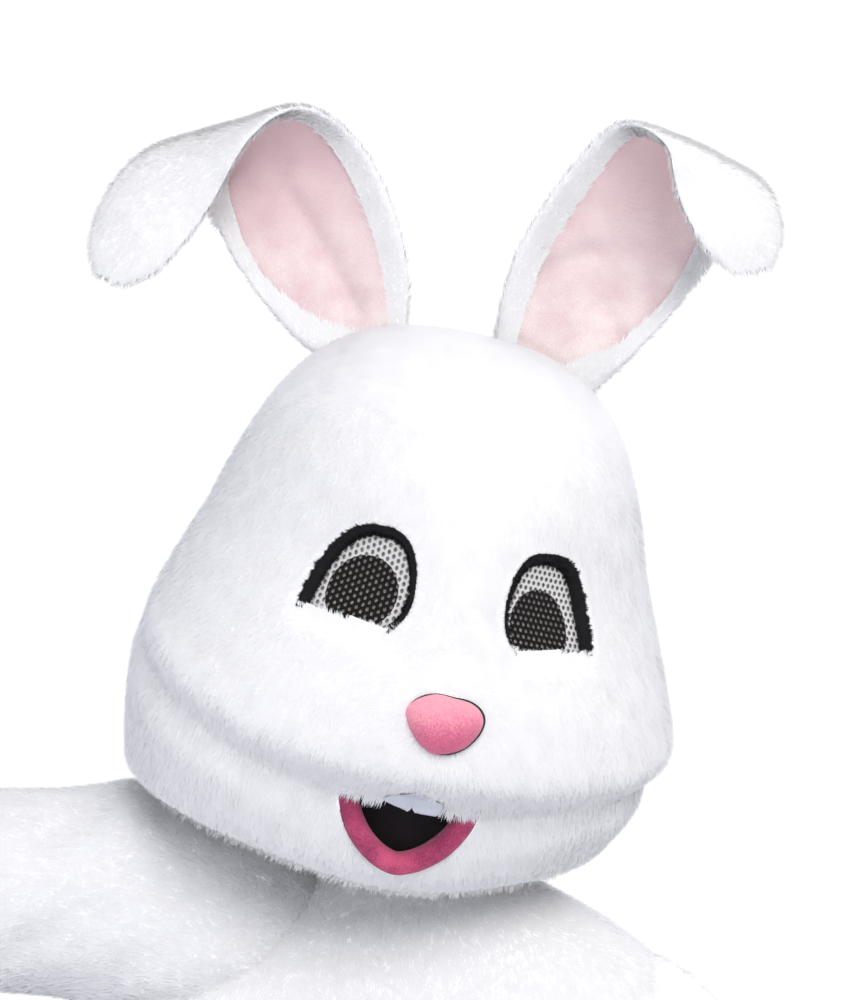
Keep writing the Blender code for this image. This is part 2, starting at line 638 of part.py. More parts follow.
def torso_rings(depth, top_extra=0.0):
    """Rings from the neckline to the waist of the legs, each begun at the front."""
    places = np.linspace(0, len(TORSO_ROWS) - 1, TORSO_RINGS)
    size = {name: smooth(column(TORSO_ROWS, TORSO_COLUMNS, name), places) for name in TORSO_COLUMNS}
    turns = np.linspace(0, 2 * math.pi, TORSO_SIDES, endpoint=False)
    rings = []
    for i, place in enumerate(places):
        ring = []
        for turn in turns:
            front = math.cos(turn)
            deep = size["front"][i] if front > 0 else size["back"][i]
            x = (size["half_width"][i] - depth) * bent(math.sin(turn), TORSO_POWER)
            y = size["shift_y"][i] - (deep - depth) * bent(front, TORSO_POWER)
            dip = NECK_DIP_FRONT * max(front, 0) ** 2 * max(1 - place / NECK_DIP_ROWS, 0)
            ring.append((x, y, size["height"][i] - dip + (top_extra if i == 0 else 0)))
        rings.append(ring)
    return np.array(rings)


def tube_rings(rows, depth):
    """Rings square to a tube's own line."""
    places = np.linspace(0, len(rows) - 1, TUBE_RINGS)
    size = {name: smooth(column(rows, TUBE_COLUMNS, name), places) for name in TUBE_COLUMNS}
    middle = np.stack([size["x"], size["y"], size["z"]], axis=-1)
    along = unit(np.gradient(middle, axis=0))
    forward = np.array([0, -1.0, 0])
    deep_way = unit(forward - along * (along @ forward)[:, None])
    wide_way = np.cross(along, deep_way)
    turns = np.linspace(0, 2 * math.pi, TUBE_SIDES, endpoint=False)
    rings = []
    for i in range(len(places)):
        wide, deep = size["half_wide"][i] - depth, size["half_deep"][i] - depth
        rings.append([
            middle[i] + wide_way[i] * wide * math.cos(t) + deep_way[i] * deep * math.sin(t)
            for t in turns
        ])  # fmt: skip
    return np.array(rings)


def box(name, low, high, parent=None):
    corners = [(low[0], low[1]), (high[0], low[1]), (high[0], high[1]), (low[0], high[1])]
    frame = ((0, 0, 0), (1, 0, 0), (0, 1, 0), (0, 0, 1))
    return add_object(name, *prism(corners, frame, low[2], high[2]), parent=parent)


def add_suit(head, materials):
    fur = materials["white_fur"]
    outer, inner = torso_rings(0), torso_rings(SUIT_WALL)
    hollow = add_object("cut_torso_hollow", *solid(torso_rings(SUIT_WALL, top_extra=60)))
    sleeves = {"right": SLEEVE_RIGHT_ROWS, "left": SLEEVE_LEFT_ROWS}
    armholes = []
    for name, rows in sleeves.items():
        points = wall(tube_rings(rows, 0), tube_rings(rows, SUIT_WALL), ring=True)
        sleeve = add_object(f"sleeve_{name}", *points, fur)
        cut(sleeve, hollow)
        if name == "right":
            cut(sleeve, head)
        armholes.append(add_object(f"cut_armhole_{name}", *solid(tube_rings(rows, -SEAM))))
    far = 400
    front_y, back_y = SIDE_SEAM_Y - SEAM / 2, SIDE_SEAM_Y + SEAM / 2
    front_half = box("keep_front", (-far, -far, -900), (far, front_y, 100))
    left_half = box("keep_left", (SEAM / 2, back_y, -900), (far, far, 100))
    right_half = box("keep_right", (-far, back_y, -900), (-SEAM / 2, far, 100))
    for part, keep in (("front", front_half), ("back_left", left_half), ("back_right", right_half)):
        panel = add_object(f"bodice_{part}", *wall(outer, inner, ring=True), fur)
        cut(panel, keep, "INTERSECT")
        for armhole in armholes:
            cut(panel, armhole)

    for side, name in ((-1, "right"), (1, "left")):
        add_leg(side, name, fur)


def leg_top(turn, depth):
    """Half of the bodice's lower edge, closed by a straight line down the middle of the body."""
    last = dict(zip(TORSO_COLUMNS, TORSO_ROWS[-1]))
    round_body = math.pi / 2 + turn * 2 / 3
    middle = SEAM / 2 + depth
    if abs(turn) <= 3 * math.pi / 4:
        front = math.cos(round_body)
        deep = (last["front"] if front > 0 else last["back"]) - depth
        x = (last["half_width"] - depth) * bent(math.sin(round_body), TORSO_POWER)
        return max(x, middle), last["shift_y"] - deep * bent(front, TORSO_POWER)
    across = (math.pi - abs(turn)) * 4 / math.pi
    deep = (last["back"] if turn > 0 else last["front"]) - depth
    return middle, last["shift_y"] + math.copysign(deep * across, turn)


def add_leg(side, name, material):
    places = np.linspace(0, len(LEG_ROWS) - 1, LEG_RINGS)
    size = {key: smooth(column(LEG_ROWS, LEG_COLUMNS, key), places) for key in LEG_COLUMNS}
    turns = np.linspace(-math.pi, math.pi, LEG_SIDES, endpoint=False)
    grids = []
    for depth in (0, SUIT_WALL):
        rings = []
        for i in range(len(places)):
            part = min(max(size["roundness"][i], 0), 1)
            ring = []
            for turn in turns:
                top_x, top_y = leg_top(turn, depth)
                wide = (size["half_wide"][i] - depth) * bent(math.cos(turn), LEG_POWER)
                deep = (size["half_deep"][i] - depth) * bent(math.sin(turn), LEG_POWER)
                x = top_x + (size["middle_x"][i] + wide - top_x) * part
                y = top_y + (size["middle_y"][i] + deep - top_y) * part
                ring.append((side * max(x, SEAM / 2 + depth), y, size["height"][i]))
            rings.append(ring)
        grids.append(np.array(rings))
    add_object(f"leg_{name}", *wall(grids[0], grids[1], ring=True), material)


# ---------------------------------------------------------------- build
def main():
    for old in list(bpy.data.objects):
        bpy.data.objects.remove(old, do_unlink=True)
    materials = {name: make_material(name) for name in COLOURS}

    upright = bpy.data.objects.new("head_upright", None)
    upright.location = Vector(HEAD_CENTRE) * MM
    tilted = bpy.data.objects.new("head_tilted", None)
    tilted.parent = upright
    turns = [math.radians(value) for value in (HEAD_LEAN, HEAD_TURN, HEAD_NOD)]
    lean, turn, nod = (Matrix.Rotation(a, 4, axis) for a, axis in zip(turns, ("Y", "Z", "X")))
    tilted.matrix_local = lean @ turn @ nod
    for empty in (upright, tilted):
        bpy.context.scene.collection.objects.link(empty)

    seat = head_solid("cut_head_seat", -SEAT_GAP, tilted)
    face = front_panel("face", tilted, materials["white_fur"])
    jaw = front_panel("jaw", tilted, materials["white_fur"])
    add_head_back(tilted, materials["white_fur"])
    for side, name in ((-1, "right"), (1, "left")):
        add_eye(side, name, tilted, face, materials)
    tree = skin_tree()
    add_nose(tree, tilted, seat, materials["pink_nose"])
    add_mouth(tree, tilted, jaw, materials)
    add_ear("right", EAR_RIGHT_ROWS, seat, materials, upright)
    add_ear("left", EAR_LEFT_ROWS, seat, materials, upright)
    add_suit(seat, materials)


main()
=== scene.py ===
# %% [markdown]
# # A rabbit mascot costume
# The costume is a plush head, worn over the wearer's own, and a one-piece plush suit. A maker
# cuts each panel from fur fabric, a knitted backing with a dense white pile, and sews the panels
# pile inwards. Here each panel is a thin curved sheet with its pile grown on it as slim tufts.
# The solids of the costume come first, as a fixed frame that every sheet has to stay on.

# %% Load the solids
import math

import bpy
import numpy as np
from mathutils import Matrix, Vector
from mathutils.bvhtree import BVHTree
from mathutils.kdtree import KDTree


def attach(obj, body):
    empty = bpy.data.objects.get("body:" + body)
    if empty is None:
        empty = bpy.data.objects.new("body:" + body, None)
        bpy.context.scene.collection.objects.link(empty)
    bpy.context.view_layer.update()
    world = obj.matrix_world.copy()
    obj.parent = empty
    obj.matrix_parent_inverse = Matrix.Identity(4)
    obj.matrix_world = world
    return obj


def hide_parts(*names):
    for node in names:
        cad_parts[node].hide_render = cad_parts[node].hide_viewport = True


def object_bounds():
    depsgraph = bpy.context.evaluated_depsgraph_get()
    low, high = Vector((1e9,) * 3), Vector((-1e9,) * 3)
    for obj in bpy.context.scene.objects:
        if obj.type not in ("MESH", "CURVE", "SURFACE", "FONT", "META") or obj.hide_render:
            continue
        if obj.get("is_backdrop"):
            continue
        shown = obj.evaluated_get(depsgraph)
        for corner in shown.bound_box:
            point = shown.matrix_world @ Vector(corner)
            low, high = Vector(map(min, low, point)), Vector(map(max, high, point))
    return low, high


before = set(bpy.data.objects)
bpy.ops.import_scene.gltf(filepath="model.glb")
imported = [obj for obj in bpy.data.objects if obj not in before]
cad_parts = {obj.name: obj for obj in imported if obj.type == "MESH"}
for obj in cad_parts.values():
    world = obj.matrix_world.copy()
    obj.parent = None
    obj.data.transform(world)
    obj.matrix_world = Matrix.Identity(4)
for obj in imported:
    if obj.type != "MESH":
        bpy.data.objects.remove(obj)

cad_box = [list(map(float, corner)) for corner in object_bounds()]
MM = 0.001
print("solids:", sorted(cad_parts), "box:", cad_box)

# %% [markdown]
# ## Camera
# The costume is seen from just in front of its chest, at the height of the head, from far enough
# away that the ears and the chin are drawn at nearly one scale. Sizes in the picture are worked
# out from its frame of 854 by 1000.

# %% Camera
PICTURE_HEIGHT = 1000
PIXELS_PER_METRE = 1345.0
LOOK_AT = Vector((0.0218, -0.008, 0.279))
DISTANCE, ELEVATION = 2.2, math.radians(3.0)

camera_data = bpy.data.cameras.new("camera")
camera_data.sensor_width = 36.0
camera_data.lens = camera_data.sensor_width * DISTANCE * PIXELS_PER_METRE / PICTURE_HEIGHT
camera = bpy.data.objects.new("camera", camera_data)
bpy.context.scene.collection.objects.link(camera)
away = Vector((0.0, -math.cos(ELEVATION), math.sin(ELEVATION)))
camera.location = LOOK_AT + away * DISTANCE
camera.rotation_euler = away.to_track_quat("Z", "Y").to_euler()
bpy.context.scene.camera = camera
print("lens", round(camera_data.lens, 1), "mm")

# %% [markdown]
# ## Numbers along a table
# A pattern cutter notes a form as sizes at a few heights. The same tables are used here: named
# columns, one row for each height, and a smooth curve through each column.

# %% Reading a table smoothly
def column(rows, columns, name):
    return np.array([row[columns.index(name)] for row in rows], float)


def smooth(values, place):
    """A Catmull-Rom curve through the values, read at places counted from the first."""
    values = np.asarray(values, float)
    place = np.clip(np.asarray(place, float), 0, len(values) - 1)
    first = np.minimum(place.astype(int), len(values) - 2)
    part = place - first
    before, a = values[np.maximum(first - 1, 0)], values[first]
    b, after = values[first + 1], values[np.minimum(first + 2, len(values) - 1)]
    slope_a, slope_b = (b - before) / 2, (after - a) / 2
    return (
        (2 * part**3 - 3 * part**2 + 1) * a
        + (part**3 - 2 * part**2 + part) * slope_a
        + (3 * part**2 - 2 * part**3) * b
        + (part**3 - part**2) * slope_b
    )


def sizes_at(rows, columns, places):
    """Every column of a table, read smoothly at these places."""
    return {name: smooth(column(rows, columns, name), places) for name in columns}


def unit(vectors):
    return vectors / np.maximum(np.linalg.norm(vectors, axis=-1, keepdims=True), 1e-9)


def bent(value, power):
    """A sine or a cosine pulled toward a squarer outline."""
    return np.sign(value) * np.abs(value) ** (2 / power)


def ring_of(count):
    """Angles once round, without the last that would repeat the first."""
    return np.linspace(0, 2 * math.pi, count, endpoint=False)


def nearest_to(points, spots):
    """For each point, the number of the spot that lies nearest."""
    tree = KDTree(len(spots))
    for number, spot in enumerate(spots):
        tree.insert(spot, number)
    tree.balance()
    return [tree.find(point)[1] for point in points]


def lengths_along(line):
    """How far along a line of points each one lies."""
    return np.concatenate([[0], np.cumsum(np.linalg.norm(np.diff(line, axis=0), axis=1))])


# %% [markdown]
# ## Sheets and meshes
# A sheet is a grid of points with a normal at each. Cells of the grid that fall in an eye hole, a
# mouth or an armhole are left out, as a cutter snips them from the cloth. The same grid is where
# the pile grows from, so the pile can never miss its cloth.

# %% From a grid to a sheet of cloth
def make_mesh(name, points, faces, finish, place=None, normals=None):
    """An object from points in millimetres and faces that all have the same number of corners."""
    points = np.asarray(points, float)
    if place is not None:
        points = points @ place[:3, :3].T + place[:3, 3]
    faces = np.asarray(faces, np.int32)
    mesh = bpy.data.meshes.new(name)
    mesh.vertices.add(len(points))
    mesh.vertices.foreach_set("co", (points * MM).astype(np.float32).ravel())
    mesh.loops.add(faces.size)
    mesh.loops.foreach_set("vertex_index", faces.ravel())
    mesh.polygons.add(len(faces))
    mesh.polygons.foreach_set("loop_start", np.arange(0, faces.size, faces.shape[1], dtype=np.int32))
    mesh.update(calc_edges=True)
    mesh.shade_smooth()
    if normals is not None:
        if place is not None:
            normals = normals @ place[:3, :3].T
        mesh.normals_split_custom_set_from_vertices(normals.tolist())
    mesh.materials.append(finish)
    made = bpy.data.objects.new(name, mesh)
    bpy.context.scene.collection.objects.link(made)
    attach(made, "root")
    return made


def grid_normals(grid, ring=False):
    """Outward normals of a grid whose rows run down and whose columns run to the wearer's left."""
    down = np.gradient(grid, axis=0)
    if ring:
        round_it = (np.roll(grid, -1, axis=1) - np.roll(grid, 1, axis=1)) / 2
    else:
        round_it = np.gradient(grid, axis=1)
    normals = unit(np.cross(down, round_it))
    normals[0] = normals[1]
    return normals


def cloth(grid, keep=None, ring=False, outward=None):
    """A sheet: its points, its normals and those of its cells that keep says are cloth."""
    rows, columns = grid.shape[:2]
    index = np.arange(rows * columns).reshape(rows, columns)
    if ring:
        index = np.concatenate([index, index[:, :1]], axis=1)
    quads = np.stack([index[:-1, :-1], index[1:, :-1], index[1:, 1:], index[:-1, 1:]], axis=-1)
    quads = quads.reshape(-1, 4)
    points, normals = grid.reshape(-1, 3), grid_normals(grid, ring).reshape(-1, 3)
    if outward is not None and (normals * outward.reshape(-1, 3)).sum() < 0:
        normals, quads = -normals, quads[:, ::-1]
    if keep is not None:
        quads = quads[keep(points[quads].mean(axis=1))]
    return {"points": points, "normals": normals, "quads": quads}


def add_cloth(name, sheet, finish, place=None):
    used, faces = np.unique(sheet["quads"], return_inverse=True)
    return make_mesh(name, sheet["points"][used], faces.reshape(-1, 4), finish, place)


def solid_tree(sheet):
    """A sheet as something that rays can be cast at."""
    return BVHTree.FromPolygons([Vector(p) for p in sheet["points"]], sheet["quads"].tolist())


def area_of(sheet):
    """Square millimetres of each cell."""
    a, b, c, d = (sheet["points"][sheet["quads"][:, k]] for k in range(4))
    return np.linalg.norm(np.cross(c - a, d - b), axis=1) / 2


# %% [markdown]
# ## Pile
# Real pile is far too fine to draw one fibre at a time, and it doesn't lie one fibre at a time
# either: fibres cling together in small tufts that lean the way the cloth was brushed. Each tuft
# here is one slim blade, and blades near each other lean toward one tip. Their shading normals
# follow the cloth below, so that the coat takes light as one soft surface. Real pile lets light
# through, so the blades cast no shadow. Opaque ones would shade each other and turn the coat grey.

# %% Growing pile
BLADE_SINK, BLADE_TWIST, FRINGE_LEAN = 0.8, 0.1, 68
SHADE_ROOT, SHADE_TIP = 0.12, 0.15  # how far a blade's own form shows in its shading


def waves(points, size, rng, count=5):
    """Soft noise from -1 to 1, made of a few sine waves of about this size in millimetres."""
    total = np.zeros(len(points))
    for _ in range(count):
        way = unit(rng.normal(size=3)) * 2 * math.pi / size * rng.uniform(0.7, 1.4)
        total += np.sin(points @ way + rng.uniform(0, 2 * math.pi))
    return total / count * 1.5


def scatter(sheet, count, rng, density=None):
    """Roots spread evenly over a sheet, or more densely where density says so."""
    weight = area_of(sheet)
    if density is not None:
        weight = weight * density(sheet["points"][sheet["quads"]].mean(axis=1))
    cells = rng.choice(len(weight), size=count, p=weight / weight.sum())
    across, down = rng.random((2, count, 1))
    corner = [sheet["quads"][cells, k] for k in range(4)]
    shares = ((1 - across) * (1 - down), (1 - across) * down, across * down, across * (1 - down))
    roots = sum(sheet["points"][c] * share for c, share in zip(corner, shares))
    normals = unit(sum(sheet["normals"][c] * share for c, share in zip(corner, shares)))
    return roots, normals


def grow_pile(name, roots, normals, flow, finish, rng, place=None, **style):
    """Slim blades that lean along flow. A fringe reaches further, and trim shortens."""
    look = {"height": 4.2, "width": 1.05, "lean": 64.0, "tuft": 14.0, "pull": 0.25, "stray": 0.2}
    look |= {"clump": 22.0, "uneven": 0.07} | style
    count = len(roots)
    fringe = look["fringe"](roots)[:, None] if "fringe" in look else np.zeros((count, 1))
    trim = look["trim"](roots)[:, None] if "trim" in look else np.ones((count, 1))
    sideways = rng.normal(size=(count, 3)) * look["stray"]
    along = flow - normals * (flow * normals).sum(axis=1, keepdims=True)
    along = unit(unit(along) + sideways - normals * (sideways * normals).sum(axis=1, keepdims=True))
    lean = look["lean"] * (1 + 0.12 * rng.normal(size=(count, 1)))
    lean = np.radians(lean * (1 - fringe) + FRINGE_LEAN * fringe)
    toward = unit(normals * np.cos(lean) + along * np.sin(lean))
    uneven = 0.8 + 0.3 * rng.random((count, 1)) * (1 - 0.6 * fringe)
    tall = look["height"] * uneven * (1 + 0.4 * fringe) * trim
    tips = roots + toward * tall / np.maximum((toward * normals).sum(axis=1, keepdims=True), 0.4)

    centres = rng.choice(count, size=max(int(count / look["tuft"]), 1), replace=False)
    nearest = centres[nearest_to(roots, roots[centres])]
    pull = look["pull"] * (0.5 + rng.random((count, 1)))
    far = np.linalg.norm(roots[nearest] - roots, axis=1, keepdims=True)
    pull = pull * (far < 4 * look["height"])
    tips = tips + (tips[nearest] - tips) * pull

    toward = unit(tips - roots)
    across = unit(np.cross(toward, normals + rng.normal(size=(count, 3)) * BLADE_TWIST))
    twist = rng.normal(size=(count, 1)) * BLADE_TWIST
    across = across * np.cos(twist) + np.cross(toward, across) * np.sin(twist)
    facing = np.cross(across, toward)
    half = look["width"] / 2 * (0.8 + 0.5 * rng.random((count, 1)))
    sunk = roots - toward * BLADE_SINK
    points = np.stack([sunk - across * half, sunk + across * half, tips], axis=1)
    clumps = [waves(roots, look["clump"], np.random.default_rng(way)) for way in range(3)]
    surface = unit(normals + np.stack(clumps, axis=1) * look["uneven"])
    at_root, at_tip = surface + facing * SHADE_ROOT, surface + toward * SHADE_TIP
    shading = np.stack([at_root, at_root, at_tip], axis=1)
    faces = np.arange(count * 3).reshape(-1, 3)
    made = make_mesh(name, points.reshape(-1, 3), faces, finish, place, unit(shading.reshape(-1, 3)))
    made.visible_shadow = False
    print(f"{name}: {count} blades")
    return made


# %% [markdown]
# ## Shader sums
# A finish is a few textures added, multiplied and mixed. Wrapping a socket in a small class lets
# those sums be written as Python expressions, each of which adds its Math node to the material.

# %% Wires and finishes
class Wire:
    """One output socket of a material, which can stand in a sum."""

    def __init__(self, finish, socket):
        self.finish, self.socket = finish, socket

    def _math(self, operation, first, second):
        return self.finish.node("ShaderNodeMath", {"operation": operation}, {0: first, 1: second})

    def __add__(self, other):
        return self._math("ADD", self, other)

    def __sub__(self, other):
        return self._math("SUBTRACT", self, other)

    def __rsub__(self, other):
        return self._math("SUBTRACT", other, self)

    def __mul__(self, other):
        return self._math("MULTIPLY", self, other)

    def __truediv__(self, other):
        return self._math("DIVIDE", self, other)

    def __pow__(self, other):
        return self._math("POWER", self, other)

    __radd__, __rmul__ = __add__, __mul__


class Finish:
    """A material built round one Principled shader."""

    def __init__(self, name, colour, roughness, **constants):
        self.material = bpy.data.materials.new(name)
        self.material.use_nodes = True
        self.tree = self.material.node_tree
        self.shader = self.tree.nodes["Principled BSDF"]
        self.shader.inputs["Base Color"].default_value = (*colour, 1)
        self.shader.inputs["Roughness"].default_value = roughness
        for socket, value in constants.items():
            self.shader.inputs[socket.replace("_", " ")].default_value = value

    def plug(self, socket, value):
        if isinstance(value, Wire):
            self.tree.links.new(value.socket, socket)
        elif isinstance(value, tuple) and len(value) == 3 and socket.type == "RGBA":
            socket.default_value = (*value, 1)
        else:
            socket.default_value = value

    def node(self, kind, settings=None, sockets=None, out=0):
        made = self.tree.nodes.new(kind)
        for setting, value in (settings or {}).items():
            setattr(made, setting, value)
        for socket, value in (sockets or {}).items():
            self.plug(made.inputs[socket], value)
        return Wire(self, made.outputs[out])

    def where(self):
        return self.node("ShaderNodeTexCoord", out="Object")

    def noise(self, scale, detail=2.0, stretch=(1, 1, 1), roughness=0.5):
        """Cloudy noise from 0 to 1. scale is in features to the metre."""
        spot = self.node("ShaderNodeMapping", {}, {"Vector": self.where(), "Scale": stretch})
        sockets = {"Vector": spot, "Scale": scale, "Detail": detail, "Roughness": roughness}
        return self.node("ShaderNodeTexNoise", {}, sockets)

    def mix(self, share, first, second):
        sockets = {0: share, 6: first, 7: second}
        return self.node("ShaderNodeMix", {"data_type": "RGBA"}, sockets, out=2)

    def step(self, value, low, high):
        """0 below low, 1 above high and a smooth rise between."""
        kind = {"interpolation_type": "SMOOTHSTEP"}
        return self.node("ShaderNodeMapRange", kind, {0: value, 1: low, 2: high, 3: 0.0, 4: 1.0})

    def feed(self, socket, value):
        self.plug(self.shader.inputs[socket], value)

    def bump(self, height, depth, strength=1.0):
        """Relief of this depth in metres."""
        sockets = {"Height": height, "Distance": depth, "Strength": strength}
        self.feed("Normal", self.node("ShaderNodeBump", {}, sockets))


# %% [markdown]
# ## The finishes
# The pile is one plain colour for each fibre, since it is the tufts that break it up. The cloths
# that show their own face get their colour from two sizes of noise: a slow one, for how the nap
# was stroked, and a fine one, for the fibres. On the lip and the ear linings, painted shade also
# makes the pink deeper higher up.

# %% White pile, black pile and their backing
PILE_WHITE = (0.79, 0.79, 0.795)
white_pile = Finish("white_pile", PILE_WHITE, 0.95, Specular_IOR_Level=0.1, Sheen_Weight=0.1).material
black_pile = Finish("black_pile", (0.012, 0.011, 0.013), 0.8, Specular_IOR_Level=0.2).material

backing = Finish("white_backing", (0.95, 0.95, 0.96), 0.95, Specular_IOR_Level=0.1)
backing.feed("Base Color", backing.mix(backing.noise(90, 3), (0.94, 0.94, 0.95), (0.97, 0.97, 0.975)))
backing.bump(backing.noise(700, 2), 0.0012)
white_backing = backing.material

dark = Finish("black_backing", (0.01, 0.01, 0.01), 0.9)
dark.feed("Base Color", dark.mix(dark.noise(900, 2), (0.006, 0.006, 0.007), (0.022, 0.02, 0.022)))
dark.bump(dark.noise(900, 2), 0.0008)
black_backing = dark.material


# %% Pink cloths
def fleece(name, light, deep, fine, relief, roughness=0.9, painted_shade_above=None, patchy=0.14):
    """A short brushed cloth: slow patches of nap, and fine fibres. Painted shade makes it deeper higher up,
    between two given heights.
    """
    made = Finish(name, light, roughness, Specular_IOR_Level=0.15, Sheen_Weight=0.15)
    slow = made.noise(38, 3)
    fibres = made.noise(fine, 3, roughness=0.7)
    share = made.step(slow * 0.55 + fibres * 0.45, 0.5 - patchy, 0.5 + patchy)
    if painted_shade_above is not None:
        # painted shade: the colour turns deeper higher up, where shade falls
        height = made.node("ShaderNodeSeparateXYZ", {}, {0: made.where()}, out=2)
        share = share * (1 - made.step(height, painted_shade_above[0] * MM, painted_shade_above[1] * MM) * 0.8)
    made.feed("Base Color", made.mix(share, deep, light))
    made.bump(fibres, relief)
    return made.material


# painted shade under the ear's folded tip: the lining is deeper pink higher up, over its own random patches
pink_lining = fleece(
    "pink_lining", (0.90, 0.82, 0.78), (0.66, 0.46, 0.48), 900, 0.0006, painted_shade_above=(400, 560), patchy=0.32
)
# painted shade under the muzzle: the lip is deeper pink higher up, toward its ends
lip_pink = fleece("hot_pink_fleece", (0.59, 0.09, 0.188), (0.25, 0.028, 0.085), 850, 0.001, painted_shade_above=(52, 86))
mouth_black = fleece("mouth_black", (0.012, 0.009, 0.01), (0.006, 0.004, 0.005), 700, 0.0005)

# %% Print all the finishes
print("finishes:", [material.name for material in bpy.data.materials])

# %% [markdown]
# ## The head's form
# The head is a foam shell: narrow at the crown and wide at the cheeks, with a muzzle that swells
# forward and overhangs the jaw. Its sizes are the ones the solids were made from, so the cloth
# can be worked out again here, finer, and a chosen depth below the tips of the pile.

# %% Sizes of the head
HEAD_CENTRE = (14.0, -8.0, 203.0)
HEAD_NOD, HEAD_TURN, HEAD_LEAN = 5.0, 9.0, 10.5
HEAD_COLUMNS = ("height", "half_width", "front", "back", "front_power", "shift_x")
HEAD_ROWS = (
    (205, 0, 0, 0, 2.0, 0),
    (202, 44, 42, 44, 2.0, 0),
    (191, 80, 74, 82, 2.0, 0),
    (172, 107, 101, 110, 2.0, 0),
    (147, 128, 127, 133, 1.95, 0),
    (117, 144, 149, 150, 1.85, 0),
    (84, 157, 166, 161, 1.75, 0),
    (50, 168, 178, 168, 1.7, 0),
    (15, 182, 187, 172, 1.75, 0),
    (-20, 195, 193, 174, 1.9, 0),
    (-50, 203, 194, 172, 2.1, 0),
    (-80, 202, 191, 168, 2.25, -1),
    (-108, 197, 184, 163, 2.3, -4),
    (-134, 189, 174, 156, 2.25, -8),
    (-152, 181, 164, 148, 2.2, -11),
    (-162, 165, 148, 132, 2.2, -12),
)
CHIN_DROP = 14.0
CREASE_COLUMNS = ("angle", "height")
CREASE_ROWS = (
    (-180, -30),
    (-110, -34),
    (-90, -50),
    (-80, -60),
    (-60, -80),
    (-36, -99),
    (-18, -107),
    (18, -107),
    (36, -101),
    (60, -95),
    (80, -88),
    (90, -82),
    (110, -62),
    (180, -30),
)
CREASE_DEPTH, CREASE_REACH = 7.0, 16.0
OVERHANG, OVERHANG_RISE, OVERHANG_REACH = 5.0, 26.0, 18.0
SWELL_COLUMNS = ("x", "height", "reach_x", "reach_z", "proud")
SWELL_ROWS = (
    (0, -68, 78, 44, 17),
    (112, -55, 62, 50, 7),
    (-112, -55, 62, 50, 7),
    (74, 44, 44, 42, -6),
    (-74, 44, 44, 42, -6),
    (0, -165, 60, 30, 6),
)
FRONT_EDGE = 2.5  # how sharply what belongs to the front fades out at the sides
CREASE_END, CREASE_FADE = 84, 26  # degrees from the front
CREASE_SHARES = (0.55, 0.45)  # of its depth all round, and more at the front
CHIN_FROM, CHIN_OVER, CHIN_ANGLE, CHIN_LAST = -95, 75, 48, 150
LAST_ROW = len(HEAD_ROWS) - 1

# %% The head's surface
HEIGHTS = column(HEAD_ROWS, HEAD_COLUMNS, "height")
FINE_PLACES = np.linspace(0, LAST_ROW, 600)


def place_at(height):
    """The place down the head's rows where the surface has this height."""
    return np.interp(-np.asarray(height, float), -smooth(HEIGHTS, FINE_PLACES), FINE_PLACES)


def crease_height(angle):
    angles = column(CREASE_ROWS, CREASE_COLUMNS, "angle")
    return np.interp(angle, angles, column(CREASE_ROWS, CREASE_COLUMNS, "height"))


def plain_head(place, angle):
    """The head before its swellings. The angle is in degrees from the front."""
    size = sizes_at(HEAD_ROWS, HEAD_COLUMNS, place)
    turn = np.radians(angle)
    forward = np.cos(turn)
    power = np.where(forward > 0, size["front_power"], 2.0)
    depth = np.where(forward > 0, size["front"], size["back"])
    x = size["half_width"] * bent(np.sin(turn), power) + size["shift_x"]
    return np.stack([x, -depth * bent(forward, power), size["height"] + 0 * x], axis=-1)


def surface_normals(function, place, angle):
    step_place, step_angle = 0.02, 0.4
    down = function(np.minimum(place + step_place, LAST_ROW), angle) - function(place - step_place, angle)
    round_head = function(place, angle + step_angle) - function(place, angle - step_angle)
    return unit(np.cross(down, round_head))


def swelling(points, angle):
    front = np.clip(np.cos(np.radians(angle)) * FRONT_EDGE, 0, 1)
    total = np.zeros(points.shape[:-1])
    for row in SWELL_ROWS:
        swell = dict(zip(SWELL_COLUMNS, row))
        far = ((points[..., 0] - swell["x"]) / swell["reach_x"]) ** 2
        far += ((points[..., 2] - swell["height"]) / swell["reach_z"]) ** 2
        total += swell["proud"] * np.exp(-far) * front
    rise = points[..., 2] - crease_height(angle)
    fade = np.exp(-((np.maximum(np.abs(angle) - CREASE_END, 0) / CREASE_FADE) ** 2))
    share = CREASE_SHARES[0] + CREASE_SHARES[1] * front
    total -= CREASE_DEPTH * np.exp(-((rise / CREASE_REACH) ** 2)) * fade * share
    total += OVERHANG * np.exp(-(((rise - OVERHANG_RISE) / OVERHANG_REACH) ** 2)) * front
    return total


def head_surface(place, angle):
    place, angle = np.broadcast_arrays(np.maximum(place, 0.03), np.asarray(angle, float))
    points = plain_head(place, angle)
    normals = surface_normals(plain_head, place, angle)
    points = points + normals * swelling(points, angle)[..., None]
    low = np.clip((CHIN_FROM - points[..., 2]) / CHIN_OVER, 0, 1)
    middle = np.exp(-((angle / CHIN_ANGLE) ** 2)) * (np.abs(angle) < CHIN_LAST)
    points[..., 2] -= CHIN_DROP * low * middle
    return points


def head_grid(places, angles, depth):
    """The head's surface at a depth below the tips of its pile."""
    outer = head_surface(places, angles)
    normals = surface_normals(head_surface, np.maximum(places, 0.06), angles)
    crown = places < 0.01
    outer[crown] = (0, 0, HEIGHTS[0])
    normals[crown] = (0, 0, 1)
    return outer - normals * np.asarray(depth)[..., None]


def head_at(places, angles, depth):
    """The head's surface at one depth, over a grid of places and a row of angles."""
    return head_grid(places, 0 * places + angles, np.full(places.shape, depth))


turns = [math.radians(value) for value in (HEAD_LEAN, HEAD_TURN, HEAD_NOD)]
lean, turn, nod = (Matrix.Rotation(a, 4, axis) for a, axis in zip(turns, ("Y", "Z", "X")))
UPRIGHT = np.array(Matrix.Translation(HEAD_CENTRE))
TILTED = np.array(Matrix.Translation(HEAD_CENTRE) @ lean @ turn @ nod)
print("head: crown at", np.round((TILTED @ [0, 0, HEIGHTS[0], 1])[:3] * MM, 3))

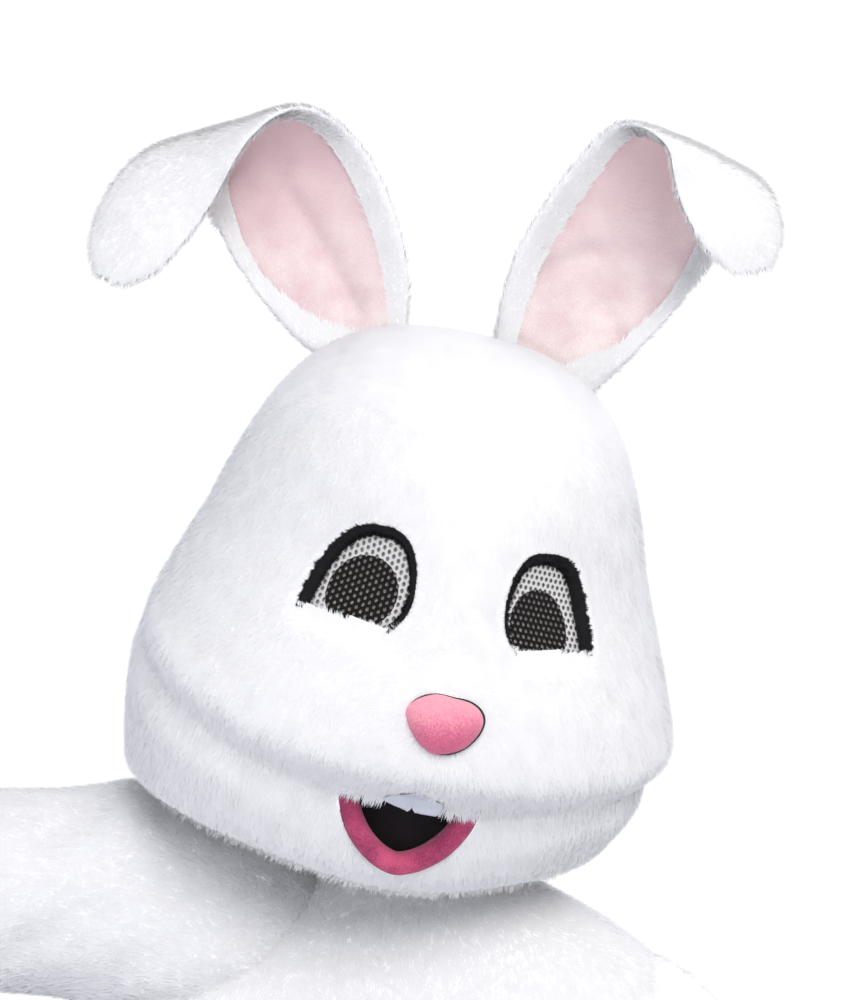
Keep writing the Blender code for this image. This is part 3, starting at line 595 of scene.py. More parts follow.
# %% [markdown]
# ## The eyes' and the mouth's outlines
# Both are holes cut in the fur, so their outlines are needed before the fur is. An eye is an arch
# with a flat lower edge, and the mouth is a wide U under the muzzle's overhang.

# %% Outlines of the eyes and the mouth
EYE_ANGLE, EYE_HEIGHT = 25.4, 43.0
EYE_AZIMUTH, EYE_RISE, EYE_SLANT = 34.0, 8.0, 1.0
EYE_OUTER_SIDE, EYE_INNER_SIDE, EYE_TOP, EYE_BOTTOM = 46.5, 34.0, 33.5, -35.0
EYE_POWERS = {-1: (2.4, 2.4), 1: (3.2, 2.1)}  # of the side away from the nose and the side by it
EYE_STRIPS = {-1: (7.5, 6.0, 3.6), 1: (8.5, 7.0, 1.8)}  # widths away from the nose, on top and by the nose
EYE_PINCH = 9.0  # how far the side by the nose curves in at the bottom
MOUTH_X, MOUTH_TOP = -7.0, -105.0
MOUTH_HALF_WIDTH, MOUTH_DROP, MOUTH_POWER = 52.5, 58.5, 1.62
SIDES = {"right": -1, "left": 1}
FRONT_Y = -60  # what lies before this is the front of the head


def eye_axes(side):
    """Middle, across (away from the nose), up and out of an eye. side is 1 on the wearer's left."""
    azimuth, rise, slant = (math.radians(value) for value in (EYE_AZIMUTH, EYE_RISE, EYE_SLANT))
    out = np.array([side * math.sin(azimuth), -math.cos(azimuth), math.tan(rise)]) * math.cos(rise)
    level = unit(np.cross(np.array([0, 0, 1.0]), out)) * side
    up = unit(np.cross(out, level)) * side
    across = level * math.cos(slant) + up * math.sin(slant)
    up = up * math.cos(slant) - level * math.sin(slant)
    middle = head_surface(place_at(np.array([EYE_HEIGHT])), np.array([side * EYE_ANGLE]))[0]
    return middle, across, up, out


def eye_pinch(v):
    return EYE_PINCH * np.clip((-8 - v) / 27, 0, 1) ** 2


def eye_arch(turn, side, inner=0.0):
    """The arch of an eye. inner is 0 on the fur's edge and 1 on the edge of the open mesh."""
    strips = EYE_STRIPS[side]
    across, rise = np.cos(turn), np.abs(np.sin(turn))
    power = np.where(across > 0, *EYE_POWERS[side])
    wide = np.where(across > 0, EYE_OUTER_SIDE - strips[0] * inner, EYE_INNER_SIDE - strips[2] * inner)
    top = EYE_TOP - strips[1] * inner
    v = EYE_BOTTOM + (top - EYE_BOTTOM) * rise ** (2 / power)
    return wide * bent(across, power) + eye_pinch(v) * (across < 0), v


def eye_places(points, side):
    middle, across, up, _ = eye_axes(side)
    return (points - middle) @ across, (points - middle) @ up


def in_arch(u, v, side, outer_side, inner_side, top, bottom):
    """Which points of an eye's plane lie inside an arch of these sizes."""
    power = np.where(u > 0, *EYE_POWERS[side])
    wide = np.where(u > 0, outer_side, inner_side - eye_pinch(v))
    return np.abs(u / wide) ** power + (np.maximum(v - bottom, 0) / (top - bottom)) ** power < 1


def in_eye(points, side, grow):
    u, v = eye_places(points, side)
    bottom = EYE_BOTTOM - grow
    inside = in_arch(u, v, side, EYE_OUTER_SIDE + grow, EYE_INNER_SIDE + grow, EYE_TOP + grow, bottom)
    facing = points[:, 0] * side > -20
    return inside & (v > bottom) & facing & (points[:, 1] < 0)


def in_eyes(points, grow):
    return in_eye(points, -1, grow) | in_eye(points, 1, grow)


def mouth_u(turn, inset=0.0):
    """The U of the mouth from one corner (0) round the chin to the other (pi)."""
    x = MOUTH_X + (MOUTH_HALF_WIDTH - inset) * bent(np.cos(turn), MOUTH_POWER)
    return x, MOUTH_TOP - (MOUTH_DROP - inset) * np.abs(np.sin(turn)) ** (2 / MOUTH_POWER)


def in_mouth(points, grow):
    x, drop = points[:, 0] - MOUTH_X, MOUTH_TOP - points[:, 2]
    bowl = np.abs(x / (MOUTH_HALF_WIDTH + grow)) ** MOUTH_POWER
    bowl += (np.maximum(drop, 0) / (MOUTH_DROP + grow)) ** MOUTH_POWER
    return (bowl < 1) & (points[:, 1] < 0)


# %% [markdown]
# ## The head's three fur panels
# The face is one panel from crown to cheeks, the jaw is the band below the crease, and a third
# panel goes round the back from side seam to side seam. The backing lies about 4 mm under the tips.
# Each lower edge is turned in over the foam, as it is on a sewn head.

# %% The head's fur panels
PILE_DEPTH = 4.2
SEAM_GAP = 0.4
TURN_IN = ((0.0, 10.5), (0.0, 14.0), (-0.25, 15.5), (-0.9, 15.8))  # rows back up, and their depth


def panel(top, bottom, steps, angles, turned=False):
    """A grid from a top line to a bottom line. A turned one ends in a hem inside the head."""
    part = np.linspace(0, 1, steps)[:, None]
    places = top + (bottom - top) * part + 0 * angles[None, :]
    depth = np.full(places.shape, PILE_DEPTH)
    if turned:
        for back, deep in TURN_IN:
            places = np.concatenate([places, places[-1:] * 0 + LAST_ROW + back])
            depth = np.concatenate([depth, depth[-1:] * 0 + deep])
    wrapped = np.where(angles > 180, angles - 360, angles)
    return head_grid(places, 0 * places + wrapped, depth)


face_angles = np.linspace(-90, 90, 121)
crease_line = place_at(crease_height(face_angles))
face_grid = panel(0 * face_angles, crease_line, 104, face_angles)
jaw_grid = panel(crease_line + 0.02, 0 * face_angles + LAST_ROW, 34, face_angles, turned=True)
back_angles = np.linspace(90, 270, 97)
back_grid = panel(0 * back_angles, 0 * back_angles + LAST_ROW, 80, back_angles, turned=True)
face_grid[..., 1] -= SEAM_GAP / 2
jaw_grid[..., 1] -= SEAM_GAP / 2
back_grid[..., 1] += SEAM_GAP / 2

face_sheet = cloth(face_grid, lambda p: ~in_eyes(p, grow=-1.5))
jaw_sheet = cloth(jaw_grid, lambda p: ~in_mouth(p, grow=-3.0) | (p[:, 1] > FRONT_Y))
back_sheet = cloth(back_grid)
for name, sheet in (("face", face_sheet), ("jaw", jaw_sheet), ("head_back", back_sheet)):
    print(name, "cloth", round(area_of(sheet).sum() / 1e6, 4), "square metres")

face = add_cloth("face_cloth", face_sheet, white_backing, TILTED)
jaw = add_cloth("jaw_cloth", jaw_sheet, white_backing, TILTED)
head_back = add_cloth("head_back_cloth", back_sheet, white_backing, TILTED)


# %% [markdown]
# ## Pile on the head
# The nap is brushed down from the crown and out from the muzzle. Round the eyes it closes over
# the edge of the mesh, from below most of all, which is what makes that edge look soft.

# %% Pile on the head
PARTING, PARTING_REACH, PARTING_PULL = (0, -200, -44), 75, 1.4  # the nap parts round the nose
EYE_PULL, EYE_REACH = 5.0, 9.0  # away from an eye, this far out
LOWER_PULL, LOWER_REACH = 1.7, 8  # up over an eye's lower edge
CROWN_PULL, CROWN_REACH = 3.0, 50  # toward the back


def head_flow(roots, rng):
    """The way the nap lies on the head: down, away from the nose, and up at the eyes' lower edge."""
    flow = np.zeros_like(roots)
    flow[:, 2] = -1.0
    from_nose = roots - np.array(PARTING)
    near = np.exp(-((np.linalg.norm(from_nose, axis=1) / PARTING_REACH) ** 2))[:, None]
    flow += unit(from_nose) * near * PARTING_PULL
    for side in SIDES.values():
        middle, across, up, _ = eye_axes(side)
        u, v = eye_places(roots, side)
        away = unit(np.outer(u, across) + np.outer(np.maximum(v + 12, -6), up))
        flow += EYE_PULL * away * (in_eye(roots, side, EYE_REACH) & (v > EYE_BOTTOM + 6))[:, None]
        below = np.exp(-(((v - EYE_BOTTOM + 5) / LOWER_REACH) ** 2))
        below = below * (u > -EYE_INNER_SIDE) * (u < EYE_OUTER_SIDE)
        flow[:, 2] += LOWER_PULL * below * (roots[:, 1] < 0)
    crown = np.exp(-(((HEIGHTS[0] - roots[:, 2]) / CROWN_REACH) ** 2))
    flow[:, 1] += CROWN_PULL * crown
    flow[:, 0] += 0.4 * waves(roots, 60, rng)
    flow[:, 2] += 0.3 * waves(roots, 45, rng)
    return flow


def pile_on(name, sheet, count, seed, place, flow, finish=white_pile, density=None, bare=None, **style):
    rng = np.random.default_rng(seed)
    roots, normals = scatter(sheet, count, rng, density)
    if bare is not None:
        grown = ~bare(roots)
        roots, normals = roots[grown], normals[grown]
    return grow_pile(name, roots, normals, flow(roots, rng), finish, rng, place, **style)


NOSE_HEIGHT = -42.0
UNDER_NOSE = (24, 18)  # half sizes of what the nose covers


def under_nose(points):
    wide, tall = UNDER_NOSE
    return (points[:, 0] / wide) ** 2 + ((points[:, 2] - NOSE_HEIGHT) / tall) ** 2 < 1


def face_bare(points):
    return in_eyes(points, grow=-0.5) | (under_nose(points) & (points[:, 1] < 0))


HEAD_HEM, HEAD_HEM_RADIUS, HEAD_HEM_SHARE = -148, 125, 1.1


def hem_bare(points):
    inside = np.hypot(points[:, 0] / HEAD_HEM_SHARE, points[:, 1]) < HEAD_HEM_RADIUS
    return (points[:, 2] < HEAD_HEM) & inside


TEETH_REACH, TEETH_DOME = 20, 14  # to each side and up, where the teeth are sewn on
TRIMS = {"teeth": 0.3, "eyes": 0.6}
FRINGE_FROM, FRINGE_FADE, FRINGE_REACH = 10, 5, 62
FRINGE_PLACES, FRINGE_SHARES = (-30, -24, -18, 18, 26), (0.2, 0.25, 0.0, 0.0, 0.8)


def face_trim(points):
    """The nap is cut short round the eyes, and very short where the teeth are sewn on."""
    close = in_eyes(points, grow=7.0)
    x, rise = points[:, 0] - MOUTH_X, points[:, 2] - MOUTH_TOP
    over_teeth = (rise < TEETH_DOME * (1 - (x / TEETH_REACH) ** 2)) & (np.abs(x) < TEETH_REACH)
    over_teeth &= points[:, 1] < FRONT_Y
    return np.where(over_teeth, TRIMS["teeth"], np.where(close, TRIMS["eyes"], 1.0))


def muzzle_fringe(points):
    """The nap of the muzzle's edge hangs long over the mouth."""
    low = np.clip((MOUTH_TOP + FRINGE_FROM - points[:, 2]) / FRINGE_FADE, 0, 1)
    x = points[:, 0] - MOUTH_X
    most = np.interp(x, FRINGE_PLACES, FRINGE_SHARES)
    return low * most * (np.abs(x) < FRINGE_REACH) * (points[:, 1] < FRONT_Y)


def jaw_bare(points):
    return in_mouth(points, grow=-1.0) | hem_bare(points)


face_pile = pile_on(
    "face_pile", face_sheet, count=140000, seed=11, place=TILTED, flow=head_flow,
    bare=face_bare, fringe=muzzle_fringe, trim=face_trim,
)  # fmt: skip
jaw_pile = pile_on(
    "jaw_pile", jaw_sheet, count=52000, seed=12, place=TILTED, flow=head_flow, bare=jaw_bare
)
back_pile = pile_on(
    "head_back_pile", back_sheet, count=70000, seed=13, place=TILTED, flow=head_flow, bare=hem_bare, width=1.4
)

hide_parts("face")
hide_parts("jaw")
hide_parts("head_back")

# %% [markdown]
# ## Foam inside the head
# Look up into a mascot head and there is bare foam. It is one surface 15 mm under the pile, with
# the eye holes cut through it.

# %% Foam inside the head
foam = Finish("foam", (0.8, 0.77, 0.68), 0.9, Specular_IOR_Level=0.1)
cells = foam.node("ShaderNodeTexVoronoi", {}, {"Vector": foam.where(), "Scale": 650.0})
foam.feed("Base Color", foam.mix(foam.noise(24, 2), (0.74, 0.71, 0.61), (0.84, 0.81, 0.73)))
foam.bump(cells, 0.0006)

FOAM_DEPTH = 15.2
foam_angles = np.linspace(-180, 180, 121)[:-1]
foam_places = np.linspace(0.2, LAST_ROW - 0.1, 60)[:, None] + 0 * foam_angles
foam_grid = head_at(foam_places, foam_angles, FOAM_DEPTH)


def foam_kept(points):
    holes = in_eyes(points, grow=-6) | in_mouth(points, grow=6)
    return ~(holes & (points[:, 1] < FRONT_Y))


foam_sheet = cloth(foam_grid, foam_kept, ring=True)
head_foam = add_cloth("head_foam", foam_sheet, foam.material, TILTED)

# %% [markdown]
# ## Eyes
# The wearer sees out through spacer mesh, a stiff net of round threads with oval holes, white
# with a large pupil printed on its front threads. Behind it lies the net's own second face, which
# shows through the holes as grey. A strip of black fur goes round the top and both sides.

# %% Finding the skin of the head
SKIN_ANGLE, SKIN_ABOVE, SKIN_BELOW, SKIN_STEPS = 40, 80, 75, 60


def skin_under(depth, side):
    """The head's surface round one eye at a depth, to drop points on."""
    angles = side * EYE_ANGLE + np.linspace(-SKIN_ANGLE, SKIN_ANGLE, SKIN_STEPS)
    top, bottom = place_at(EYE_HEIGHT + SKIN_ABOVE), place_at(EYE_HEIGHT - SKIN_BELOW)
    places = np.linspace(top, bottom, SKIN_STEPS)[:, None] + 0 * angles
    return solid_tree(cloth(head_at(places, angles, depth)))


def drop_on(tree, axes, u, v):
    """Points of an eye's plane moved straight back onto the skin."""
    middle, across, up, out = axes
    flat = middle + u[:, None] * across + v[:, None] * up + out * 60
    landed = [tree.ray_cast(Vector(point), Vector(-out))[0] for point in flat]
    missed = sum(spot is None for spot in landed)
    if missed:
        print("points that missed the skin:", missed)
    return np.array([spot if spot is not None else point for spot, point in zip(landed, flat)])


# %% The eye's net, with real holes
CELL_WIDE, CELL_TALL = 4.1, 4.9
HOLES = {"right": (1.15, 1.5), "left": (1.45, 1.35)}  # half sizes of one oval hole
NET_COLUMNS, NET_ROWS = range(-14, 15), range(-13, 14)
RING = 12  # points round a hole
RING_LIFTS = (0.5, 0.4, -0.1)  # of a cell's border, the crest of its threads and its hole
CREST_SHARES = (0.35, 0.65)  # how far the crest lies from the hole, and from the border
THREAD_THICK, THREAD_WELD = 0.9, 0.2
NET_DEPTH, STRIP_DEPTH, NET_GAP = 8.0, 3.0, 1.6  # below the tips of the pile, and from net to its back
NET_TURN = {"right": 4.0, "left": 23.0}  # degrees
PUPILS = {"right": (6.5, -14.5), "left": (2.0, -18.0)}
PUPIL_RADIUS = 26.5


def turned(flat, name):
    """Points of the net turned in its own plane, since each eye's net was cut at its own angle."""
    turn = math.radians(NET_TURN[name])
    x, v, c, s = flat[..., 0], flat[..., 1], math.cos(turn), math.sin(turn)
    return np.stack([x * c - v * s, x * s + v * c], axis=-1)


def net_cells(side, name):
    """Middles of the holes, in columns that are half a hole out of step, as the knit makes them."""
    middles = []
    for i in NET_COLUMNS:
        for j in NET_ROWS:
            middles.append((i * CELL_WIDE, (j + 0.5 * (i % 2)) * CELL_TALL))
    middles = np.array(middles)
    u, v = turned(middles, name).T * [[side], [1]]
    inside = in_arch(u, v, side, EYE_OUTER_SIDE - 3, EYE_INNER_SIDE - 1, EYE_TOP - 1, EYE_BOTTOM)
    return middles[inside & (v > EYE_BOTTOM - 4)]


def net_points(middles, name):
    """Each cell as three rings: its border, the crest of its threads and its hole."""
    turns = np.radians(np.arange(RING) * 30.0)
    border = []
    for k in range(6):
        a, b = math.radians(60 * k), math.radians(60 * k + 60)
        corner = np.array([math.cos(a), math.sin(a)])
        after = np.array([math.cos(b), math.sin(b)])
        border += [corner, (corner + after) / 2]
    border = np.array(border) * (CELL_WIDE / 1.5, CELL_TALL / math.sqrt(3))
    hole = np.stack([np.cos(turns), np.sin(turns)], axis=1) * HOLES[name]
    rings = np.stack([border, border * CREST_SHARES[0] + hole * CREST_SHARES[1], hole])
    flat = middles[:, None, None, :] + rings[None]
    lift = np.array(RING_LIFTS)[None, :, None] + 0 * flat[..., 0]
    return flat, lift


def add_net(side, name, axes, tree, finish):
    flat, lift = net_points(net_cells(side, name), name)
    flat = turned(flat, name) * (side, 1)
    count = len(flat)
    landed = drop_on(tree, axes, flat[..., 0].ravel(), flat[..., 1].ravel())
    points = landed + lift.reshape(-1, 1) * axes[3]
    start = np.arange(count)[:, None, None, None] * RING * len(RING_LIFTS)
    ring = np.arange(2)[None, :, None, None] * RING
    k = np.arange(RING)[None, None, :, None]
    after = (k + 1) % RING
    quads = start + ring + np.concatenate([k, after, after + RING, k + RING], axis=-1)
    quads = quads.reshape(-1, 4)
    made = make_mesh(f"eye_net_{name}", points, quads, finish, TILTED)
    weld = made.modifiers.new("weld", "WELD")
    weld.merge_threshold = THREAD_WELD * MM
    thick = made.modifiers.new("thick", "SOLIDIFY")
    thick.thickness, thick.offset = THREAD_THICK * MM, -1.0
    return made


def net_finish(name, axes):
    """White thread with a round black pupil printed on it. The print follows the eye's own plane."""
    made = Finish(f"net_{name}", (0.8, 0.79, 0.77), 0.7, Specular_IOR_Level=0.08)
    middle, across, up, _ = axes
    origin = (TILTED @ [*middle, 1])[:3] * MM
    spot = made.where()
    around = []
    for way, shift in zip((across, up), PUPILS[name]):
        way = TILTED[:3, :3] @ way
        dot = {"operation": "DOT_PRODUCT"}
        along = made.node("ShaderNodeVectorMath", dot, {0: spot, 1: tuple(way)}, out="Value")
        around.append((along - float(origin @ way) - shift * MM) / (PUPIL_RADIUS * MM))
    far = (around[0] ** 2 + around[1] ** 2) ** 0.5
    ragged = far + (made.noise(500, 2) - 0.5) * 0.05
    thread = made.noise(1400, 2)
    white = made.mix(thread, (0.52, 0.515, 0.5), (0.64, 0.63, 0.61))
    black = made.mix(thread, (0.006, 0.005, 0.005), (0.016, 0.013, 0.011))
    made.feed("Base Color", made.mix(made.step(ragged, 0.98, 1.01), black, white))
    made.bump(thread, 0.0002)
    return made.material


net_back = Finish("net_back", (0.25, 0.23, 0.22), 0.8, Specular_IOR_Level=0.1)
weave = net_back.node("ShaderNodeTexVoronoi", {}, {"Vector": net_back.where(), "Scale": 520.0})
woven = net_back.step(weave, 0.1, 0.5)
net_back.feed("Base Color", net_back.mix(woven, (0.62, 0.59, 0.57), (0.3, 0.28, 0.27)))
net_back.bump(weave, 0.0005)


# %% The eyes
STRIP_TUCK, TUCK_FROM = 3.5, 0.72  # how deep the strip's inner edge is tucked, and from what share


def add_eye(side, name):
    axes = eye_axes(side)
    middle, _, _, out = axes
    net_tree, strip_tree = skin_under(NET_DEPTH, side), skin_under(STRIP_DEPTH, side)
    net = add_net(side, name, axes, net_tree, net_finish(name, axes))

    turns = np.linspace(0, math.pi, 49)
    shares = np.linspace(0, 1.04, 26)[:, None]
    u, v = eye_arch(turns, side)
    u, v = u[None] * shares, EYE_BOTTOM - 3 + (v[None] - EYE_BOTTOM + 3) * shares
    landed = drop_on(net_tree, axes, u.ravel(), v.ravel()) - out * NET_GAP
    back_face = landed.reshape(*u.shape, 3)
    back_sheet = cloth(back_face, outward=0 * back_face + out)
    pane = add_cloth(f"eye_mesh_cloth_{name}", back_sheet, net_back.material, TILTED)

    turns = np.linspace(0, math.pi, 97)
    leg = EYE_BOTTOM - 1.0
    rows = []
    for share in np.linspace(-0.06, 1.0, 9):
        u, v = eye_arch(turns, side, share)
        u, v = np.concatenate([u[:1], u, u[-1:]]), np.concatenate([[leg], v, [leg]])
        tucked = STRIP_TUCK * max(share - TUCK_FROM, 0) / (1 - TUCK_FROM)
        rows.append(drop_on(strip_tree, axes, u, v) - out * tucked)
    strip_grid = np.array(rows)
    strip_sheet = cloth(strip_grid, outward=0 * strip_grid + out)
    strip = add_cloth(f"eye_outline_cloth_{name}", strip_sheet, black_backing, TILTED)

    def strip_flow(roots, rng):
        flow = (roots - middle) * 0.4
        return flow + rng.normal(size=roots.shape) * 12

    def strip_end(points):
        return eye_places(points, side)[1] < EYE_BOTTOM + 3.0

    def ragged(roots):
        return 1 + 0.5 * waves(roots, 8, np.random.default_rng(6))

    strip_pile = pile_on(
        f"eye_outline_pile_{name}", strip_sheet, count=12000, seed=30 + side, place=TILTED, flow=strip_flow,
        finish=black_pile, bare=strip_end, trim=ragged,
        height=2.4, width=0.7, lean=38, tuft=9, pull=0.5, stray=1.1,
    )  # fmt: skip
    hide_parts(f"eye_mesh_{name}")
    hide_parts(f"eye_outline_{name}")


for name, side in SIDES.items():
    add_eye(side, name)

# %% [markdown]
# ## Nose
# The nose is a rounded triangle of pink fleece over wadding, set on a black felt backing that
# just shows round its edge. Its upper half faces the light, and painted light from above makes it
# paler than the lower half.

# %% Dropping points on the front of the head
front_angles = np.linspace(-100, 100, 121)
front_places = np.linspace(place_at(120), LAST_ROW, 90)[:, None] + 0 * front_angles
skin = solid_tree(cloth(head_at(front_places, front_angles, 0.0)))


def on_skin(x, height):
    point, normal, _, _ = skin.ray_cast(Vector((x, -500, height)), Vector((0, 1, 0)))
    normal = normal if normal.y < 0 else -normal
    return np.array(point), np.array(normal)


# %% The nose
NOSE_HALF_WIDTH, NOSE_HALF_HEIGHT, NOSE_PROUD = 26.5, 21.0, 17.0
NOSE_SINK = 12
NOSE_PAINTED_LIGHT_HEIGHTS = (124.0, 154.0)  # heights between which painted light from above turns the nose from deep pink to pale
FELT_SHIFT = (0.8, 0.5)  # the felt shows more on one side and at the top
FELT_RINGS = ((0.9, -1.0), (0.995, 0.6), (0.995, 9))  # share of the nose's outline, and depth
nose_finish = Finish("pink_nose", (0.88, 0.3, 0.46), 0.85, Specular_IOR_Level=0.15, Sheen_Weight=0.25)
fibres = nose_finish.noise(850, 3, roughness=0.7)
height = nose_finish.node("ShaderNodeSeparateXYZ", {}, {0: nose_finish.where()}, out=2)
painted_light_from_above = nose_finish.step(height, NOSE_PAINTED_LIGHT_HEIGHTS[0] * MM, NOSE_PAINTED_LIGHT_HEIGHTS[1] * MM)
naps = nose_finish.step(fibres, 0.34, 0.66)
# painted light: the fleece's own flecks are mixed with painted light that makes the top pale and the lower
# part deep pink
flecks_and_painted_light = nose_finish.step(naps * 0.3 + nose_finish.noise(60, 2) * 0.2 + painted_light_from_above * 0.5, 0.1, 0.9)
nose_finish.feed("Base Color", nose_finish.mix(flecks_and_painted_light, (0.58, 0.087, 0.195), (0.92, 0.365, 0.43)))
nose_finish.bump(fibres, 0.0009)


def nose_outline(turn):
    """A triangle with round corners, point down, a little dented at the middle of its top."""
    lift = np.sin(turn)
    wide = NOSE_HALF_WIDTH * np.cos(turn) * (1 + 0.2 * lift)
    tall = NOSE_HALF_HEIGHT * lift * np.where(lift > 0, 0.92, 1.08)
    dent = 1.6 * np.exp(-(((np.cos(turn) - 0.1) / 0.3) ** 2)) * (lift > 0)
    return wide, tall - dent


def add_nose():
    point, normal = on_skin(0, NOSE_HEIGHT)
    across = np.array([1.0, 0, 0])
    up = np.cross(normal, across)
    wide, tall = nose_outline(ring_of(72))

    def outline(share, proud, grow_x=0.0, grow_z=0.0):
        flat = point + np.outer(wide * share + grow_x, across) + np.outer(tall * share + grow_z, up)
        return flat + normal * proud

    rings = [outline(1.0, -NOSE_SINK)]
    for k in np.linspace(0, 1, 22):
        curl = k * math.pi / 2
        rise = NOSE_PROUD * math.sin(curl) ** 0.9 - 6
        rings.append(outline(max(math.cos(curl), 0.0005) ** 0.75, rise + 5 * k))
    grid = np.array(rings)
    rng = np.random.default_rng(5)
    sheet = cloth(grid, ring=True, outward=grid - point)
    sheet["points"] = sheet["points"] + sheet["normals"] * waves(sheet["points"], 26, rng)[:, None] * 0.6
    made = add_cloth("nose_pad", sheet, nose_finish.material, TILTED)
    felt_grid = np.array([outline(share, -sink, *FELT_SHIFT) for share, sink in FELT_RINGS])
    felt = cloth(felt_grid, ring=True, outward=felt_grid - point)
    edge = add_cloth("nose_felt", felt, black_backing, TILTED)
    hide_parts("nose")


add_nose()

# %% [markdown]
# ## Mouth
# The lip is a soft roll of hot pink fleece sewn round the U of the mouth. Behind it hangs a black
# cloth recess. Two short teeth of folded satin are sewn to the front of the muzzle's edge and hang
# over it. They are tallest where they meet, and slope down to their outer ends.

# %% The lip
LIP_HALF_WIDTH, LIP_HALF_DEPTH, LIP_SINK, LIP_INSET = 7.9, 9.0, 7.0, 0.4
LIP_TUCK = 6.0  # how much deeper its two ends go, under the muzzle


def add_lip():
    rings, inset = [], LIP_HALF_WIDTH + LIP_INSET
    for turn in np.linspace(0.0, math.pi, 97):
        x, height = mouth_u(turn, inset)
        ahead, behind = mouth_u(min(turn + 0.02, math.pi), inset), mouth_u(max(turn - 0.02, 0), inset)
        point, _ = on_skin(x, height)
        along = unit(np.array([ahead[0] - behind[0], 0, ahead[1] - behind[1]]))
        out = np.array([0, -1.0, 0])
        across = np.cross(along, out)
        middle = point - out * (LIP_SINK + LIP_TUCK * abs(math.cos(turn)) ** 6)
        swell = 1 + 0.05 * math.sin(turn * 9) + 0.04 * math.sin(turn * 17 + 1)
        wide = np.outer(LIP_HALF_WIDTH * np.cos(ring_of(28)), across)
        proud = np.outer(LIP_HALF_DEPTH * swell * bent(np.sin(ring_of(28)), 2.8), out)
        rings.append(middle + wide + proud)
    grid = np.array(rings)
    centre = grid.mean(axis=1, keepdims=True)
    made = add_cloth("lip_pad", cloth(grid, ring=True, outward=grid - centre), lip_pink, TILTED)
    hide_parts("lip")


add_lip()

# %% The recess and the teeth
# painted shade: the teeth are white satin. Their grey-blue colour is painted shade from the muzzle above, and
# the fine thread noise over it is the satin's own weave
satin = Finish("tooth_satin", (0.49, 0.51, 0.57), 0.38, Specular_IOR_Level=0.4, Sheen_Weight=0.1)
threads = satin.noise(1800, 1, stretch=(1, 1, 0.12))
satin.feed("Base Color", satin.mix(threads, (0.43, 0.445, 0.50), (0.51, 0.525, 0.58)))
satin.bump(threads, 0.00015)

RECESS_DEPTH = 18.5
recess_angles = np.linspace(-26, 19, 40)
recess_places = np.linspace(place_at(MOUTH_TOP + 12), place_at(-165), 40)[:, None] + 0 * recess_angles
recess_grid = head_at(recess_places, recess_angles, RECESS_DEPTH)
recess = add_cloth("mouth_cloth", cloth(recess_grid), mouth_black, TILTED)
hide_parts("mouth_lining")

TOOTH_WIDTH, TOOTH_RISE, TOOTH_DROP = 21.0, 9.0, 8.5
TOOTH_WALLS = (1.0, 5.0)  # where it is sewn to the muzzle's front, and where it hangs free
TOOTH_SINKS = (3.0, 7.0)
TOOTH_ENDS = {-1: (0.1, 0.3), 1: (0.2, 0.85)}  # the share of the rise and of the drop left at the outer end
TOOTH_FOLD, TOOTH_FOLD_AT, TOOTH_FOLD_WIDE = 0.9, 0.72, 0.16  # the seam that shows down its front
TOOTH_NARROWS, TOOTH_POWER = 0.3, 2.6


def add_tooth(side, name):
    rings, middle_x = [], MOUTH_X + side * (TOOTH_WIDTH / 2 - 0.4)
    turns = ring_of(32)
    seam = np.exp(-(((np.cos(turns) * side + TOOTH_FOLD_AT) / TOOTH_FOLD_WIDE) ** 2))
    fold = TOOTH_FOLD * seam * (np.sin(turns) < 0)
    outer = (np.cos(turns) * side + 1) / 2
    for drop in np.linspace(-TOOTH_RISE, TOOTH_DROP, 30):
        near = max(drop / TOOTH_DROP, 0)
        drops = drop * (1 - (1 - TOOTH_ENDS[side][int(drop > 0)]) * outer)
        narrow = 1 - TOOTH_NARROWS * near**4
        free = np.clip((drops + 2) / 6, 0, 1)
        wall = np.interp(free, (0, 1), TOOTH_WALLS) * math.sqrt(max(1 - near**6, 0.02))
        x = middle_x + TOOTH_WIDTH / 2 * narrow * bent(np.cos(turns), TOOTH_POWER)
        skin_y = np.array([on_skin(spot, MOUTH_TOP - min(fall, -3))[0][1] for spot, fall in zip(x, drops)])
        y = skin_y + np.interp(free, (0, 1), TOOTH_SINKS) + wall / 2 * np.sin(turns) + fold * free
        rings.append(np.stack([x, y, MOUTH_TOP - drops - 0.8 * np.cos(turns) * side], axis=1))
    grid = np.array(rings)
    sheet = cloth(grid, ring=True, outward=grid - grid.mean(axis=1, keepdims=True))
    made = add_cloth(f"tooth_cloth_{name}", sheet, satin.material, TILTED)
    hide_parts(f"tooth_{name}")


for name, side in SIDES.items():
    add_tooth(side, name)

# %% [markdown]
# ## Ears
# An ear is a flat bag of fur with wire or felt in it, lined in front with pink fleece, and both
# tips are folded over. It is built from sections up its length. Each has a place, a way that its
# lined side faces, and a range across which it is lined.

